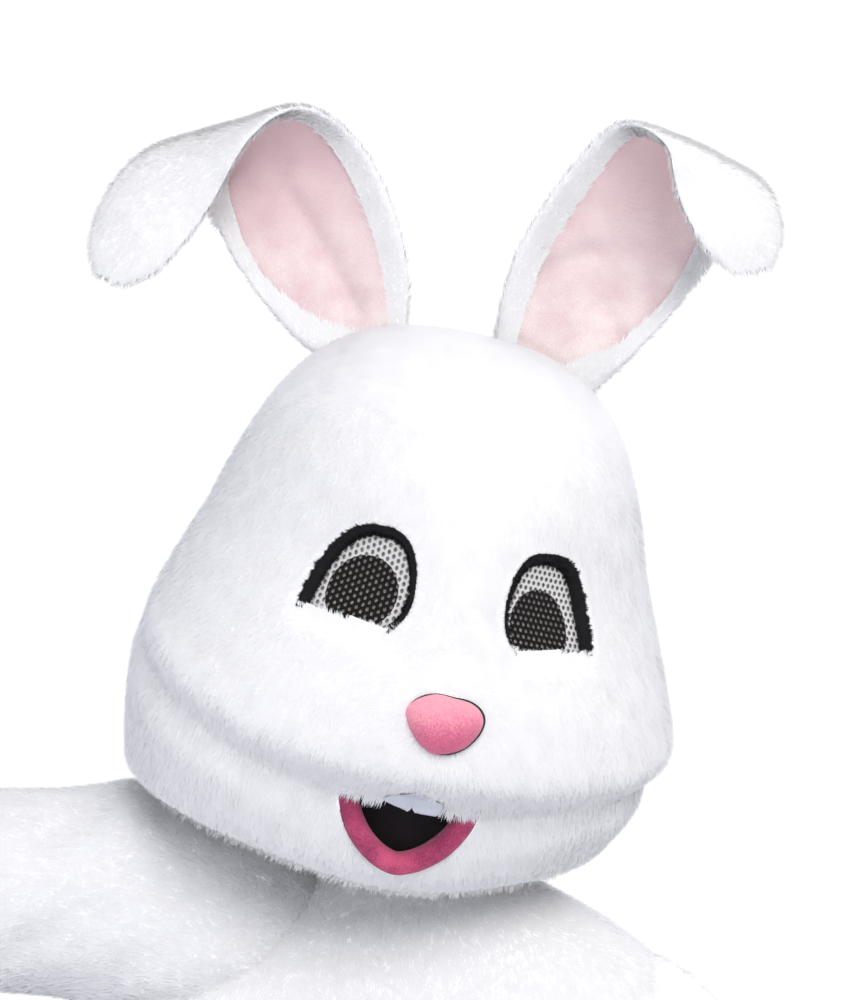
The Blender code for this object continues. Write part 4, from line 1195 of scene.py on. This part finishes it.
# %% Sizes of the ears
EAR_COLUMNS = (
    "x", "y", "z", "facing_x", "facing_y", "facing_z",
    "half_width", "half_thick", "cup", "lined_from", "lined_to",
)  # fmt: skip
EAR_ROWS = {
    "right": (
        (-30, 8, 160, 0.1, -1.0, 0.05, 34, 14, 6, -0.5, -0.4),
        (-39, 8, 190, 0.1, -1.0, 0.0, 37, 13, 10, -0.6, -0.2),
        (-49, 9, 216, 0.05, -1.0, 0.0, 50, 11, 15, -0.64, 0.5),
        (-63, 9, 249, 0.0, -1.0, -0.05, 60, 10, 18, -0.66, 0.78),
        (-79, 8, 282, 0.0, -1.0, -0.15, 65, 9, 19, -0.68, 0.82),
        (-96, 2, 314, 0.05, -1.0, -0.4, 64, 9, 16, -0.7, 0.76),
        (-114, -10, 337, 0.1, -0.7, -0.8, 59, 9, 12, -0.74, 0.66),
        (-137, -22, 343, 0.2, 0.0, -1.0, 52, 9, 8, -0.76, 0.66),
        (-162, -33, 328, 0.2, 0.45, -0.8, 47, 10, 6, -0.76, 0.76),
        (-184, -43, 303, 0.2, 0.8, -0.6, 44, 10, 5, -0.72, 0.72),
        (-201, -51, 276, 0.2, 0.9, -0.5, 40, 10, 4, -0.62, 0.62),
        (-213, -56, 253, 0.2, 0.9, -0.45, 31, 9, 3, -0.4, 0.4),
        (-220, -60, 239, 0.2, 0.9, -0.4, 15, 6, 1, -0.05, 0.05),
    ),
    "left": (
        (88, 6, 156, -0.05, -1.0, 0.05, 40, 14, 6, 0.0, 0.5),
        (98, 6, 180, -0.05, -1.0, 0.0, 47, 13, 10, -0.3, 0.62),
        (111, 7, 205, -0.05, -1.0, 0.0, 56, 11, 15, -0.72, 0.64),
        (128, 7, 235, 0.0, -1.0, -0.08, 63, 10, 18, -0.82, 0.66),
        (147, 5, 263, 0.0, -1.0, -0.2, 66, 9, 19, -0.84, 0.68),
        (167, -1, 291, -0.1, -1.0, -0.35, 65, 9, 17, -0.78, 0.7),
        (186, -10, 315, -0.2, -0.8, -0.6, 63, 9, 12, -0.68, 0.74),
        (206, -22, 326, -0.35, -0.1, -0.95, 59, 9, 8, -0.66, 0.76),
        (220, -32, 313, -0.5, 0.45, -0.7, 55, 10, 6, -0.74, 0.74),
        (230, -40, 291, -0.55, 0.7, -0.5, 51, 10, 5, -0.66, 0.66),
        (238, -46, 266, -0.55, 0.75, -0.45, 42, 9, 4, -0.42, 0.42),
        (243, -49, 246, -0.55, 0.75, -0.4, 22, 6, 2, -0.05, 0.05),
    ),
}
EAR_STEPS, RIM_STEPS, BEHIND_STEPS, LINING_STEPS = 8, 10, 31, 34
EAR_RECESS, EAR_PILE = 6.0, 3.8
LINING_LAP, LINING_LIFT = 0.06, 1.2
LINING_FROM, LINING_SHORT = 5, 6  # sections without lining, at the foot and at the tip


# %% [markdown]
# ## Folds given one by one
# A fold is a straight soft trough or ridge from one point of the cloth to another, that fades out
# at both ends. Depths are uneven on purpose. Below 0 it is a trough, and above 0 a ridge.

# %% Folds
FOLD_COLUMNS = ("u1", "v1", "u2", "v2", "width", "height")


def folds(u, v, rows):
    """Millimetres that the cloth stands proud at (u, v), summed over a table of folds."""
    total = np.zeros(np.broadcast(u, v).shape)
    for row in rows:
        fold = dict(zip(FOLD_COLUMNS, row))
        du, dv = fold["u2"] - fold["u1"], fold["v2"] - fold["v1"]
        length = math.hypot(du, dv)
        along = ((u - fold["u1"]) * du + (v - fold["v1"]) * dv) / length
        off = ((u - fold["u1"]) * dv - (v - fold["v1"]) * du) / length
        past = np.maximum(np.maximum(-along, along - length), 0)
        ends = np.exp(-((past / (fold["width"] * 1.6)) ** 2))
        total += fold["height"] * np.exp(-((off / fold["width"]) ** 2)) * ends
    return total


# %% The ears
LINING_FOLDS = {
    "right": (
        (150, 4, 60, -4, 7, -3.0),
        (150, -12, 70, -24, 14, 2.4),
        (170, 20, 110, 26, 12, 2.0),
        (60, -4, 20, 10, 6, -2.0),
        (178, -6, 164, 20, 5, -2.5),
    ),
    "left": (
        (70, 44, 110, 10, 7, -2.6),
        (95, 40, 120, 24, 9, 2.6),
        (60, -44, 84, -16, 5, -2.8),
        (28, 26, 26, -8, 4, -2.6),
        (120, 0, 150, 30, 12, 2.0),
    ),
}


def ear_sections(rows):
    places = np.linspace(0, len(rows) - 1, (len(rows) - 1) * EAR_STEPS + 1)
    size = sizes_at(rows, EAR_COLUMNS, places)
    middle = np.stack([size["x"], size["y"], size["z"]], axis=-1)
    facing = np.stack([size["facing_x"], size["facing_y"], size["facing_z"]], axis=-1)
    along = unit(np.gradient(middle, axis=0))
    facing = unit(facing - along * (facing * along).sum(axis=1, keepdims=True))
    size["along"] = lengths_along(middle)
    return middle, unit(np.cross(facing, along)), facing, along, size


def ear_spot(sections, i, s, lift):
    middle, across, facing, _, size = sections
    cup = size["cup"][i] * (s * s - 0.35)
    return middle[i] + np.outer(size["half_width"][i] * s, across[i]) + np.outer(cup + lift, facing[i])


def ear_rim(s):
    return np.maximum(1 - np.abs(s) ** 2.6, 0) ** 0.5


def add_ear(name, seed):
    sections = ear_sections(EAR_ROWS[name])
    size = sections[4]
    fur_rows, lining_rows, outs = [], [], []
    for i in range(len(size["x"])):
        low, high = size["lined_from"][i], size["lined_to"][i]
        narrow = 1 - EAR_PILE / size["half_width"][i]
        thin = max(size["half_thick"][i] - EAR_PILE, 2.0)
        front_left = np.linspace(low, -1, RIM_STEPS)
        behind = np.sin(np.linspace(-math.pi / 2, math.pi / 2, BEHIND_STEPS + 2))[1:-1]
        front_right = np.linspace(1, high, RIM_STEPS)
        s = np.concatenate([front_left, behind, front_right])
        sign = np.concatenate([np.ones(RIM_STEPS), -np.ones(BEHIND_STEPS), np.ones(RIM_STEPS)])
        lift = sign * thin * ear_rim(s)
        fur_rows.append(ear_spot(sections, i, s * narrow, lift))
        outs.append(np.outer(s, sections[1][i]) + np.outer(sign * ear_rim(s), sections[2][i]))
        across = np.linspace(high + LINING_LAP, low - LINING_LAP, LINING_STEPS)
        recess = EAR_RECESS * min(1, (high - low) * 2.5)
        rise = size["half_thick"][i] * ear_rim(across) - recess + LINING_LIFT
        rise = rise + folds(size["along"][i], across * size["half_width"][i], LINING_FOLDS[name])
        lining_rows.append(ear_spot(sections, i, across, rise))
    fur_grid = np.array(fur_rows)
    sheet = cloth(fur_grid, outward=np.array(outs))
    ear = add_cloth(f"ear_cloth_{name}", sheet, white_backing, UPRIGHT)

    def ear_flow(roots, rng):
        middle, _, _, along, _ = sections
        return along[nearest_to(roots, middle)] + rng.normal(size=roots.shape) * 0.15

    pile = pile_on(
        f"ear_pile_{name}", sheet, count=52000, seed=seed, place=UPRIGHT, flow=ear_flow,
        height=3.9, width=0.95, lean=56,
    )  # fmt: skip
    first, last = LINING_FROM, len(size["x"]) - LINING_SHORT
    lining_grid = np.array(lining_rows[first:last])
    facing = 0 * lining_grid + np.array(sections[2][first:last])[:, None]
    lining = add_cloth(f"ear_lining_cloth_{name}", cloth(lining_grid, outward=facing), pink_lining, UPRIGHT)
    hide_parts(f"ear_{name}")
    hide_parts(f"ear_lining_{name}")
    print("ear", name, round(area_of(sheet).sum() / 1e6, 3), "square metres")


add_ear("right", seed=41)
add_ear("left", seed=42)

# %% [markdown]
# ## The suit
# The suit is a loose one-piece: a front, two backs that meet down the middle, two sleeves and two
# legs. It hangs from the shoulders and from the raised arm, so its folds run down from the
# armholes, across the inside of the elbow, and gather a little over each hem.

# %% Sizes of the suit
SUIT_DEPTH, SUIT_PILE = 4.0, 4.0  # of the cloth below the tips, and the height of the pile
ARMHOLE_LAP = 8  # how far a sleeve and the bodice run into each other
TORSO_COLUMNS = ("height", "half_width", "front", "back", "shift_y")
TORSO_ROWS = (
    (6, 78, 60, 62, 6),
    (-8, 103, 70, 72, 8),
    (-25, 134, 82, 82, 10),
    (-46, 168, 95, 92, 12),
    (-73, 200, 108, 103, 12),
    (-110, 216, 120, 114, 10),
    (-170, 221, 134, 124, 6),
    (-260, 219, 140, 128, 4),
    (-370, 213, 140, 126, 4),
    (-480, 216, 144, 130, 4),
    (-590, 226, 148, 138, 4),
    (-690, 226, 142, 138, 2),
    (-745, 216, 134, 132, 0),
)
NECK_DIP_FRONT, NECK_DIP_ROWS = 9.0, 2.5
TORSO_POWER, SIDE_SEAM_Y = 2.35, 8.0
SHOULDER_TUCK, SHOULDER_TUCK_ROWS = 24.0, 0.9  # how a sleeve's head narrows to go under the bodice
TUBE_COLUMNS = ("x", "y", "z", "half_wide", "half_deep")
SLEEVE_ROWS = {
    "right": (
        (-70, 10, -76, 96, 84),
        (-130, 9, -44, 100, 88),
        (-184, 8, -22, 93, 88),
        (-222, 7, -19, 86, 84),
        (-260, 6, -17, 80, 80),
        (-340, 3, -14, 77, 77),
        (-420, 0, -13, 74, 74),
        (-500, -4, -13, 74, 74),
        (-600, -12, -15, 68, 68),
        (-700, -20, -14, 61, 61),
        (-740, -23, -13, 55, 55),
    ),
    "left": (
        (120, 10, -118, 90, 84),
        (178, 10, -160, 90, 84),
        (222, 8, -230, 84, 82),
        (256, 4, -310, 79, 79),
        (280, -2, -400, 75, 75),
        (294, -12, -490, 74, 74),
        (302, -26, -580, 68, 68),
        (306, -40, -660, 61, 61),
        (307, -46, -700, 55, 55),
    ),
}
LEG_COLUMNS = ("height", "middle_x", "middle_y", "half_wide", "half_deep", "roundness")
LEG_ROWS = (
    (-745.3, 108, 0, 108, 133, 0.0),
    (-800, 109, 0, 106, 129, 0.4),
    (-880, 112, 0, 101, 117, 0.8),
    (-980, 116, 0, 95, 103, 1.0),
    (-1100, 121, 2, 89, 93, 1.0),
    (-1230, 126, 6, 86, 89, 1.0),
    (-1340, 130, 8, 83, 87, 1.0),
    (-1400, 132, 8, 74, 78, 1.0),
)
LEG_POWER = 2.2


# %% Forms of the suit
def torso_points(places, turns, depth):
    size = sizes_at(TORSO_ROWS, TORSO_COLUMNS, places[:, None])
    front = np.cos(turns)[None]
    deep = np.where(front > 0, size["front"], size["back"]) - depth
    x = (size["half_width"] - depth) * bent(np.sin(turns)[None], TORSO_POWER)
    y = size["shift_y"] - deep * bent(front, TORSO_POWER)
    dip = NECK_DIP_FRONT * np.maximum(front, 0) ** 2 * np.maximum(1 - places[:, None] / NECK_DIP_ROWS, 0)
    return np.stack([x, y, size["height"] - dip + 0 * x], axis=-1)


def tube_lines(rows, places):
    size = sizes_at(rows, TUBE_COLUMNS, places)
    tuck = SHOULDER_TUCK * np.clip(1 - np.asarray(places) / SHOULDER_TUCK_ROWS, 0, 1) ** 2
    size["half_wide"], size["half_deep"] = size["half_wide"] - tuck, size["half_deep"] - tuck
    middle = np.stack([size["x"], size["y"], size["z"]], axis=-1)
    along = unit(np.gradient(middle, axis=0))
    forward = np.array([0, -1.0, 0])
    deep_way = unit(forward - along * (along @ forward)[:, None])
    return middle, np.cross(along, deep_way), deep_way, size


def tube_points(rows, places, turns, depth):
    middle, wide_way, deep_way, size = tube_lines(rows, places)
    wide = (size["half_wide"][:, None] - depth)[..., None] * np.cos(turns)[None, :, None]
    deep = (size["half_deep"][:, None] - depth)[..., None] * np.sin(turns)[None, :, None]
    return middle[:, None] + wide_way[:, None] * wide + deep_way[:, None] * deep


def in_tube(points, rows, grow):
    """Whether points lie in a sleeve, to cut its armhole in the bodice."""
    places = np.linspace(0.3, len(rows) - 1, 90)
    middle, wide_way, deep_way, size = tube_lines(rows, places)
    along = unit(np.gradient(middle, axis=0))
    inside = np.zeros(len(points), bool)
    for m, w, d, a, hw, hd in zip(middle, wide_way, deep_way, along, size["half_wide"], size["half_deep"]):
        rel = points - m
        near = np.abs(rel @ a) < 6
        inside |= near & ((rel @ w / (hw + grow)) ** 2 + (rel @ d / (hd + grow)) ** 2 < 1)
    return inside


def in_torso(points, grow):
    heights = column(TORSO_ROWS, TORSO_COLUMNS, "height")
    places = np.interp(-points[:, 2], -heights, np.arange(len(TORSO_ROWS)))
    size = sizes_at(TORSO_ROWS, TORSO_COLUMNS, places)
    rel = points[:, 1] - size["shift_y"]
    deep = np.where(rel < 0, size["front"], size["back"]) + grow
    bowl = np.abs(points[:, 0] / (size["half_width"] + grow)) ** TORSO_POWER
    bowl += np.abs(rel / deep) ** TORSO_POWER
    return (bowl < 1) & (points[:, 2] < 20)


# %% Folds of the suit
FOLD_DEPTH = 1.7  # the body and the legs hang slack, so that their folds are this much deeper than drawn
FRONT_FOLDS = (
    (-150, -150, -60, -420, 22, -6.0),
    (-120, -130, -20, -340, 18, 4.5),
    (-170, -220, -110, -520, 20, 4.0),
    (150, -180, 90, -430, 20, -5.0),
    (120, -150, 60, -330, 16, 3.5),
    (-40, -480, 30, -690, 24, -4.5),
    (70, -520, 120, -700, 20, 4.0),
    (-120, -560, -150, -730, 22, -5.0),
    (-60, -90, 40, -130, 14, -2.5),
)
BACK_FOLDS = (
    (-140, -150, -50, -400, 22, -5.5),
    (-100, -140, -30, -320, 16, 4.0),
    (140, -170, 70, -420, 20, -5.0),
    (60, -470, -10, -680, 22, -5.0),
    (-90, -520, -130, -720, 20, 4.5),
    (110, -560, 140, -730, 20, -4.0),
)
SLEEVE_FOLDS = {
    "right": (
        (90, -40, 190, 60, 16, -4.5),
        (120, 90, 220, 150, 18, -5.0),
        (60, 120, 150, 190, 16, 4.0),
        (240, -170, 330, -110, 18, -4.0),
        (330, 130, 400, 200, 16, -4.5),
        (380, 90, 470, 150, 14, 3.5),
        (520, -60, 560, 40, 10, -3.0),
        (570, 40, 600, 150, 9, -3.5),
        (600, -160, 630, -40, 9, -3.0),
    ),
    "left": (
        (60, -150, 170, -60, 18, -5.0),
        (100, 40, 200, 140, 18, -4.5),
        (250, -60, 330, 40, 14, -5.0),
        (280, -90, 360, 0, 12, 4.0),
        (310, 60, 380, 160, 14, -4.5),
        (470, -120, 510, 0, 10, -4.0),
        (500, 20, 540, 140, 9, -3.5),
    ),
}
LEG_FOLDS = (
    (-150, -780, -20, -860, 18, -5.5),
    (-160, -830, -30, -930, 16, 4.5),
    (20, -790, 150, -870, 18, -4.5),
    (-90, -1040, 60, -1110, 18, -5.0),
    (-60, -1090, 90, -1150, 16, 4.0),
    (100, -1060, 220, -1120, 16, -4.0),
    (-200, -1280, -40, -1320, 12, -4.5),
    (-20, -1310, 140, -1345, 11, -4.5),
    (60, -1255, 210, -1290, 12, 4.0),
)
HEM_TURN = ((0.0, 9.0), (0.04, 11.0), (0.3, 11.5))  # rows back, and depth, of a turned hem
HEM_STEP = 0.01  # two rows this close give a hem its direction


def folded(grid, amount, ring):
    return grid + grid_normals(grid, ring) * amount[..., None]


def with_hem(form, places, turns, first, last):
    """A grid with its edge turned in where first or last says that it ends in a hem."""
    before, after = [], []
    for back, deep in HEM_TURN:
        if first:
            pair = places[0] + back + np.array([0, HEM_STEP])
            before.insert(0, form(pair, turns, deep)[:1])
        if last:
            pair = places[-1] - back + np.array([-HEM_STEP, 0])
            after.append(form(pair, turns, deep)[1:])
    return np.concatenate([*before, form(places, turns, SUIT_DEPTH), *after])


# %% Bodice
SEAM_BLEND, WAIST_FADE = 60, 45  # over how far front folds turn to back folds, and fade at the waist
BODICE_SINK = 1.0
NECK_HEIGHT, NECK_RADIUS, NECK_SHARE, NECK_Y = -6, 51, 1.25, 6
torso_places = np.linspace(0, len(TORSO_ROWS) - 1, 118)
torso_turns = ring_of(144)
torso_grid = with_hem(torso_points, torso_places, torso_turns, True, False)
torso_height, torso_x = torso_grid[..., 2], torso_grid[..., 0]
front_amount = folds(torso_x, torso_height, FRONT_FOLDS)
back_amount = folds(torso_x, torso_height, BACK_FOLDS)
facing_front = np.clip(0.5 - (torso_grid[..., 1] - SIDE_SEAM_Y) / SEAM_BLEND, 0, 1)
torso_amount = (front_amount * facing_front + back_amount * (1 - facing_front)) * FOLD_DEPTH
torso_amount[: len(HEM_TURN) + 1] = 0
torso_amount *= np.clip((torso_height - TORSO_ROWS[-1][0]) / WAIST_FADE, 0, 1)
torso_grid = folded(torso_grid, torso_amount - BODICE_SINK * (np.abs(torso_amount) > 0), True)


def bodice_kept(points, test):
    grow = -SUIT_DEPTH - ARMHOLE_LAP
    armholes = in_tube(points, SLEEVE_ROWS["right"], grow) | in_tube(points, SLEEVE_ROWS["left"], grow)
    return test(points) & ~armholes


def suit_flow(roots, rng):
    flow = np.zeros_like(roots)
    flow[:, 2] = -1.0
    flow[:, 0] = 0.35 * waves(roots, 90, rng) + roots[:, 0] / 500
    flow[:, 1] = 0.3 * waves(roots, 70, rng)
    return flow


def more_tufts(before, most, reach):
    """Extra tufts where before isn't below 0, fading out over a reach."""
    return most * np.exp(-((np.minimum(before, 0) / reach) ** 2))


def seen_density(points):
    """More tufts near the neck, where the costume is looked at."""
    return 1 + more_tufts(points[:, 2] + 40, most=3.2, reach=110)


def neck_bare(points):
    inside = np.hypot(points[:, 0] / NECK_SHARE, points[:, 1] - NECK_Y) < NECK_RADIUS
    return (points[:, 2] > NECK_HEIGHT) & inside


PANELS = {
    "bodice_front": (lambda p: p[:, 1] < SIDE_SEAM_Y, 72000, (0.52, 0.76), 0.36),
    "bodice_back_right": (lambda p: (p[:, 1] >= SIDE_SEAM_Y) & (p[:, 0] < 0), 24000, (0.27, 0.76), 0.18),
    "bodice_back_left": (lambda p: (p[:, 1] >= SIDE_SEAM_Y) & (p[:, 0] >= 0), 24000, (0.27, 0.76), 0.18),
}
for seed, (name, (test, count, flat, area)) in enumerate(PANELS.items()):
    sheet = cloth(torso_grid, lambda p: bodice_kept(p, test), ring=True)
    made = add_cloth(f"{name}_cloth", sheet, white_backing)
    pile = pile_on(
        f"{name}_pile", sheet, count, seed=60 + seed, place=None, flow=suit_flow,
        density=seen_density, bare=neck_bare, height=SUIT_PILE, width=1.4,
    )  # fmt: skip
    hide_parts(name)
    print(name, round(area_of(sheet).sum() / 1e6, 3), "square metres")


# %% Sleeves
SLEEVE_RADIUS, SLEEVE_ROUND = 75, 471  # for the places of its folds, once round
SLEEVE_SINK = 0.5
CUFF_INSIDE, CUFF_REACH = 47.5, 40  # no pile is grown nearer the middle than this, this far in


def sleeve_density(points):
    return 1 + more_tufts(points[:, 0] + 330, most=2.4, reach=90) * (points[:, 0] < 0)


def add_sleeve(name, count, seed):
    rows = SLEEVE_ROWS[name]
    places = np.linspace(0, len(rows) - 1, 130)
    turns = ring_of(84)

    def form(places, turns, depth):
        return tube_points(rows, places, turns, depth)

    grid = with_hem(form, places, turns, False, True)
    middles = grid.mean(axis=1)
    run = lengths_along(middles)[:, None]
    round_it = (np.where(turns > math.pi, turns - 2 * math.pi, turns) * SLEEVE_RADIUS)[None]
    amount = sum(folds(run, round_it - shift, SLEEVE_FOLDS[name]) for shift in (0, SLEEVE_ROUND))
    amount[len(places) - 1 :] = 0
    grid = folded(grid, amount - SLEEVE_SINK, True)
    sheet = cloth(grid, lambda p: ~in_torso(p, -SUIT_DEPTH - ARMHOLE_LAP), ring=True)
    made = add_cloth(f"sleeve_{name}_cloth", sheet, white_backing)

    def flow(roots, rng):
        along = unit(np.gradient(middles, axis=0))
        return along[nearest_to(roots, middles)] + rng.normal(size=roots.shape) * 0.2

    def cuff_bare(points):
        cuff = middles[len(places) - 1]
        way = unit(cuff - middles[len(places) - 8])
        beyond = (points - cuff) @ way
        ring = points - cuff - np.outer(beyond, way)
        return (np.linalg.norm(ring, axis=1) < CUFF_INSIDE) & (beyond > -CUFF_REACH)

    pile = pile_on(
        f"sleeve_{name}_pile", sheet, count, seed, place=None, flow=flow,
        density=sleeve_density if name == "right" else None, bare=cuff_bare,
        height=SUIT_PILE, width=1.3,
    )  # fmt: skip
    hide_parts(f"sleeve_{name}")
    print("sleeve", name, round(area_of(sheet).sum() / 1e6, 3), "square metres")


add_sleeve("right", count=92000, seed=71)
add_sleeve("left", count=30000, seed=72)


# %% Legs
LEG_RADIUS, LEG_ROUND = 85, 534  # for the places of its folds, once round
LEG_SEAM = 0.15  # half the gap between the legs, where they meet
LEG_HEM, LEG_HEM_MIDDLE, LEG_HEM_RADIUS = -1350, (132, 8), 66


def leg_points(places, turns, depth, side):
    size = sizes_at(LEG_ROWS, LEG_COLUMNS, places[:, None])
    last = dict(zip(TORSO_COLUMNS, TORSO_ROWS[-1]))
    share = np.clip(size["roundness"], 0, 1)
    body = math.pi / 2 + turns * 2 / 3
    front = np.cos(body)
    outer = np.abs(turns) <= 3 * math.pi / 4
    deep = np.where(front > 0, last["front"], last["back"]) - depth
    inmost = LEG_SEAM + depth
    top_x = np.maximum((last["half_width"] - depth) * bent(np.sin(body), TORSO_POWER), inmost)
    top_y = last["shift_y"] - deep * bent(front, TORSO_POWER)
    across = (math.pi - np.abs(turns)) * 4 / math.pi
    inner_deep = np.where(turns > 0, last["back"], last["front"]) - depth
    top_x = np.where(outer, top_x, inmost)
    top_y = np.where(outer, top_y, last["shift_y"] + np.sign(turns) * inner_deep * across)
    round_x = size["middle_x"] + (size["half_wide"] - depth) * bent(np.cos(turns), LEG_POWER)
    round_y = size["middle_y"] + (size["half_deep"] - depth) * bent(np.sin(turns), LEG_POWER)
    x = np.maximum(top_x[None] * (1 - share) + round_x * share, inmost)
    y = top_y[None] * (1 - share) + round_y * share
    return np.stack([side * x, y, size["height"] + 0 * x], axis=-1)


def add_leg(side, name, seed):
    places = np.linspace(0, len(LEG_ROWS) - 1, 96)
    once_round = np.linspace(-math.pi, math.pi, 80, endpoint=False)
    turns = once_round * side

    def form(places, turns, depth):
        return leg_points(places, turns * side, depth, side)

    grid = with_hem(form, places, turns, False, True)
    round_it = once_round[None] * LEG_RADIUS
    amount = sum(folds(round_it - shift, grid[..., 2], LEG_FOLDS) for shift in (0, LEG_ROUND))
    amount *= FOLD_DEPTH * np.clip(np.abs(grid[..., 0]) / 25 - 0.4, 0, 1)
    amount[len(places) - 1 :] = 0
    amount[:3] = 0
    outward = grid - grid.mean(axis=1, keepdims=True)
    normals = grid_normals(grid, True)
    if (normals * outward).sum() < 0:
        normals = -normals
    grid = grid + normals * amount[..., None]
    sheet = cloth(grid, ring=True, outward=outward)
    made = add_cloth(f"leg_{name}_cloth", sheet, white_backing)

    def hem(points):
        x, y = LEG_HEM_MIDDLE
        inside = np.hypot(points[:, 0] - side * x, points[:, 1] - y) < LEG_HEM_RADIUS
        return (points[:, 2] < LEG_HEM) & inside

    pile = pile_on(
        f"leg_{name}_pile", sheet, count=28000, seed=seed, place=None, flow=suit_flow,
        bare=hem, height=SUIT_PILE, width=1.7,
    )  # fmt: skip
    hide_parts(f"leg_{name}")
    print("leg", name, round(area_of(sheet).sum() / 1e6, 3), "square metres")


for name, side in SIDES.items():
    add_leg(side, name, seed=80 + side)

# %% [markdown]
# ## Floor and light
# The costume stands over a plain pale floor in a white studio. A broad soft light comes from high
# on its left. Weaker ones come from low on its right, from its left side and from behind, and the
# white room fills the shadows with a faint blue.

# %% Floor
FLOOR_HEIGHT, FLOOR_RADIUS = -1.43, 3.2
floor_finish = Finish("floor", (0.72, 0.72, 0.73), 0.8, Specular_IOR_Level=0.1)
cloudy = floor_finish.noise(3, 2)
floor_finish.feed("Base Color", floor_finish.mix(cloudy, (0.70, 0.70, 0.71), (0.74, 0.74, 0.75)))
floor_rings = np.linspace(0.0, FLOOR_RADIUS, 12)[:, None]
floor_x, floor_y = floor_rings * np.cos(ring_of(96)), floor_rings * np.sin(ring_of(96))
floor_grid = np.stack([floor_x, floor_y, FLOOR_HEIGHT + 0 * floor_x], axis=-1) / MM
floor_sheet = cloth(floor_grid, ring=True, outward=0 * floor_grid + (0, 0, 1))
floor = add_cloth("floor", floor_sheet, floor_finish.material)
floor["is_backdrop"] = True


# %% Light
def soft_light(name, spot, aim, size, power, colour):
    data = bpy.data.lights.new(name, "AREA")
    data.shape, data.size, data.energy, data.color = "DISK", size, power, colour
    lamp = bpy.data.objects.new(name, data)
    lamp.location = spot
    lamp.rotation_euler = (Vector(spot) - Vector(aim)).to_track_quat("Z", "Y").to_euler()
    bpy.context.scene.collection.objects.link(lamp)


LIGHTS = {  # where it is, what it looks at, its size, its power and its colour
    "key": ((0.8, -2.4, 2.1), (0, 0, 0.2), 1.8, 48, (1.0, 0.975, 0.93)),
    "fill": ((-1.9, -2.0, -0.4), (-0.1, 0, 0.1), 2.0, 13, (0.97, 0.97, 1.0)),
    "side": ((2.6, -0.8, 1.0), (0.1, 0, 0.1), 1.8, 10, (1.0, 0.985, 0.96)),
    "back": ((0.6, 2.2, 1.8), (0, 0, 0.2), 1.5, 16, (1, 1, 1)),
}
ROOM_COLOUR, ROOM_STRENGTH = (0.875, 0.9, 1.0, 1), 0.98
BACKDROP_COLOUR, BACKDROP_STRENGTH = (1, 1, 1, 1), 1.05  # what the camera sees behind

for name, (spot, aim, size, power, colour) in LIGHTS.items():
    soft_light(name, spot, aim, size, power, colour)
world = bpy.data.worlds.new("studio")
world.use_nodes = True
nodes, links = world.node_tree.nodes, world.node_tree.links
room, backdrop = nodes["Background"], nodes.new("ShaderNodeBackground")
room.inputs["Color"].default_value = ROOM_COLOUR
room.inputs["Strength"].default_value = ROOM_STRENGTH
backdrop.inputs["Color"].default_value = BACKDROP_COLOUR
backdrop.inputs["Strength"].default_value = BACKDROP_STRENGTH
seen, either = nodes.new("ShaderNodeLightPath"), nodes.new("ShaderNodeMixShader")
links.new(seen.outputs["Is Camera Ray"], either.inputs["Fac"])
links.new(room.outputs["Background"], either.inputs[1])
links.new(backdrop.outputs["Background"], either.inputs[2])
links.new(either.outputs["Shader"], nodes["World Output"].inputs["Surface"])
bpy.context.scene.world = world
bpy.context.scene.view_settings.view_transform = "Standard"

# %% Measure and finish
size_note = {"cad": cad_box, "visual": [list(map(float, corner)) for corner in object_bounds()]}
print("bounds", size_note["visual"])
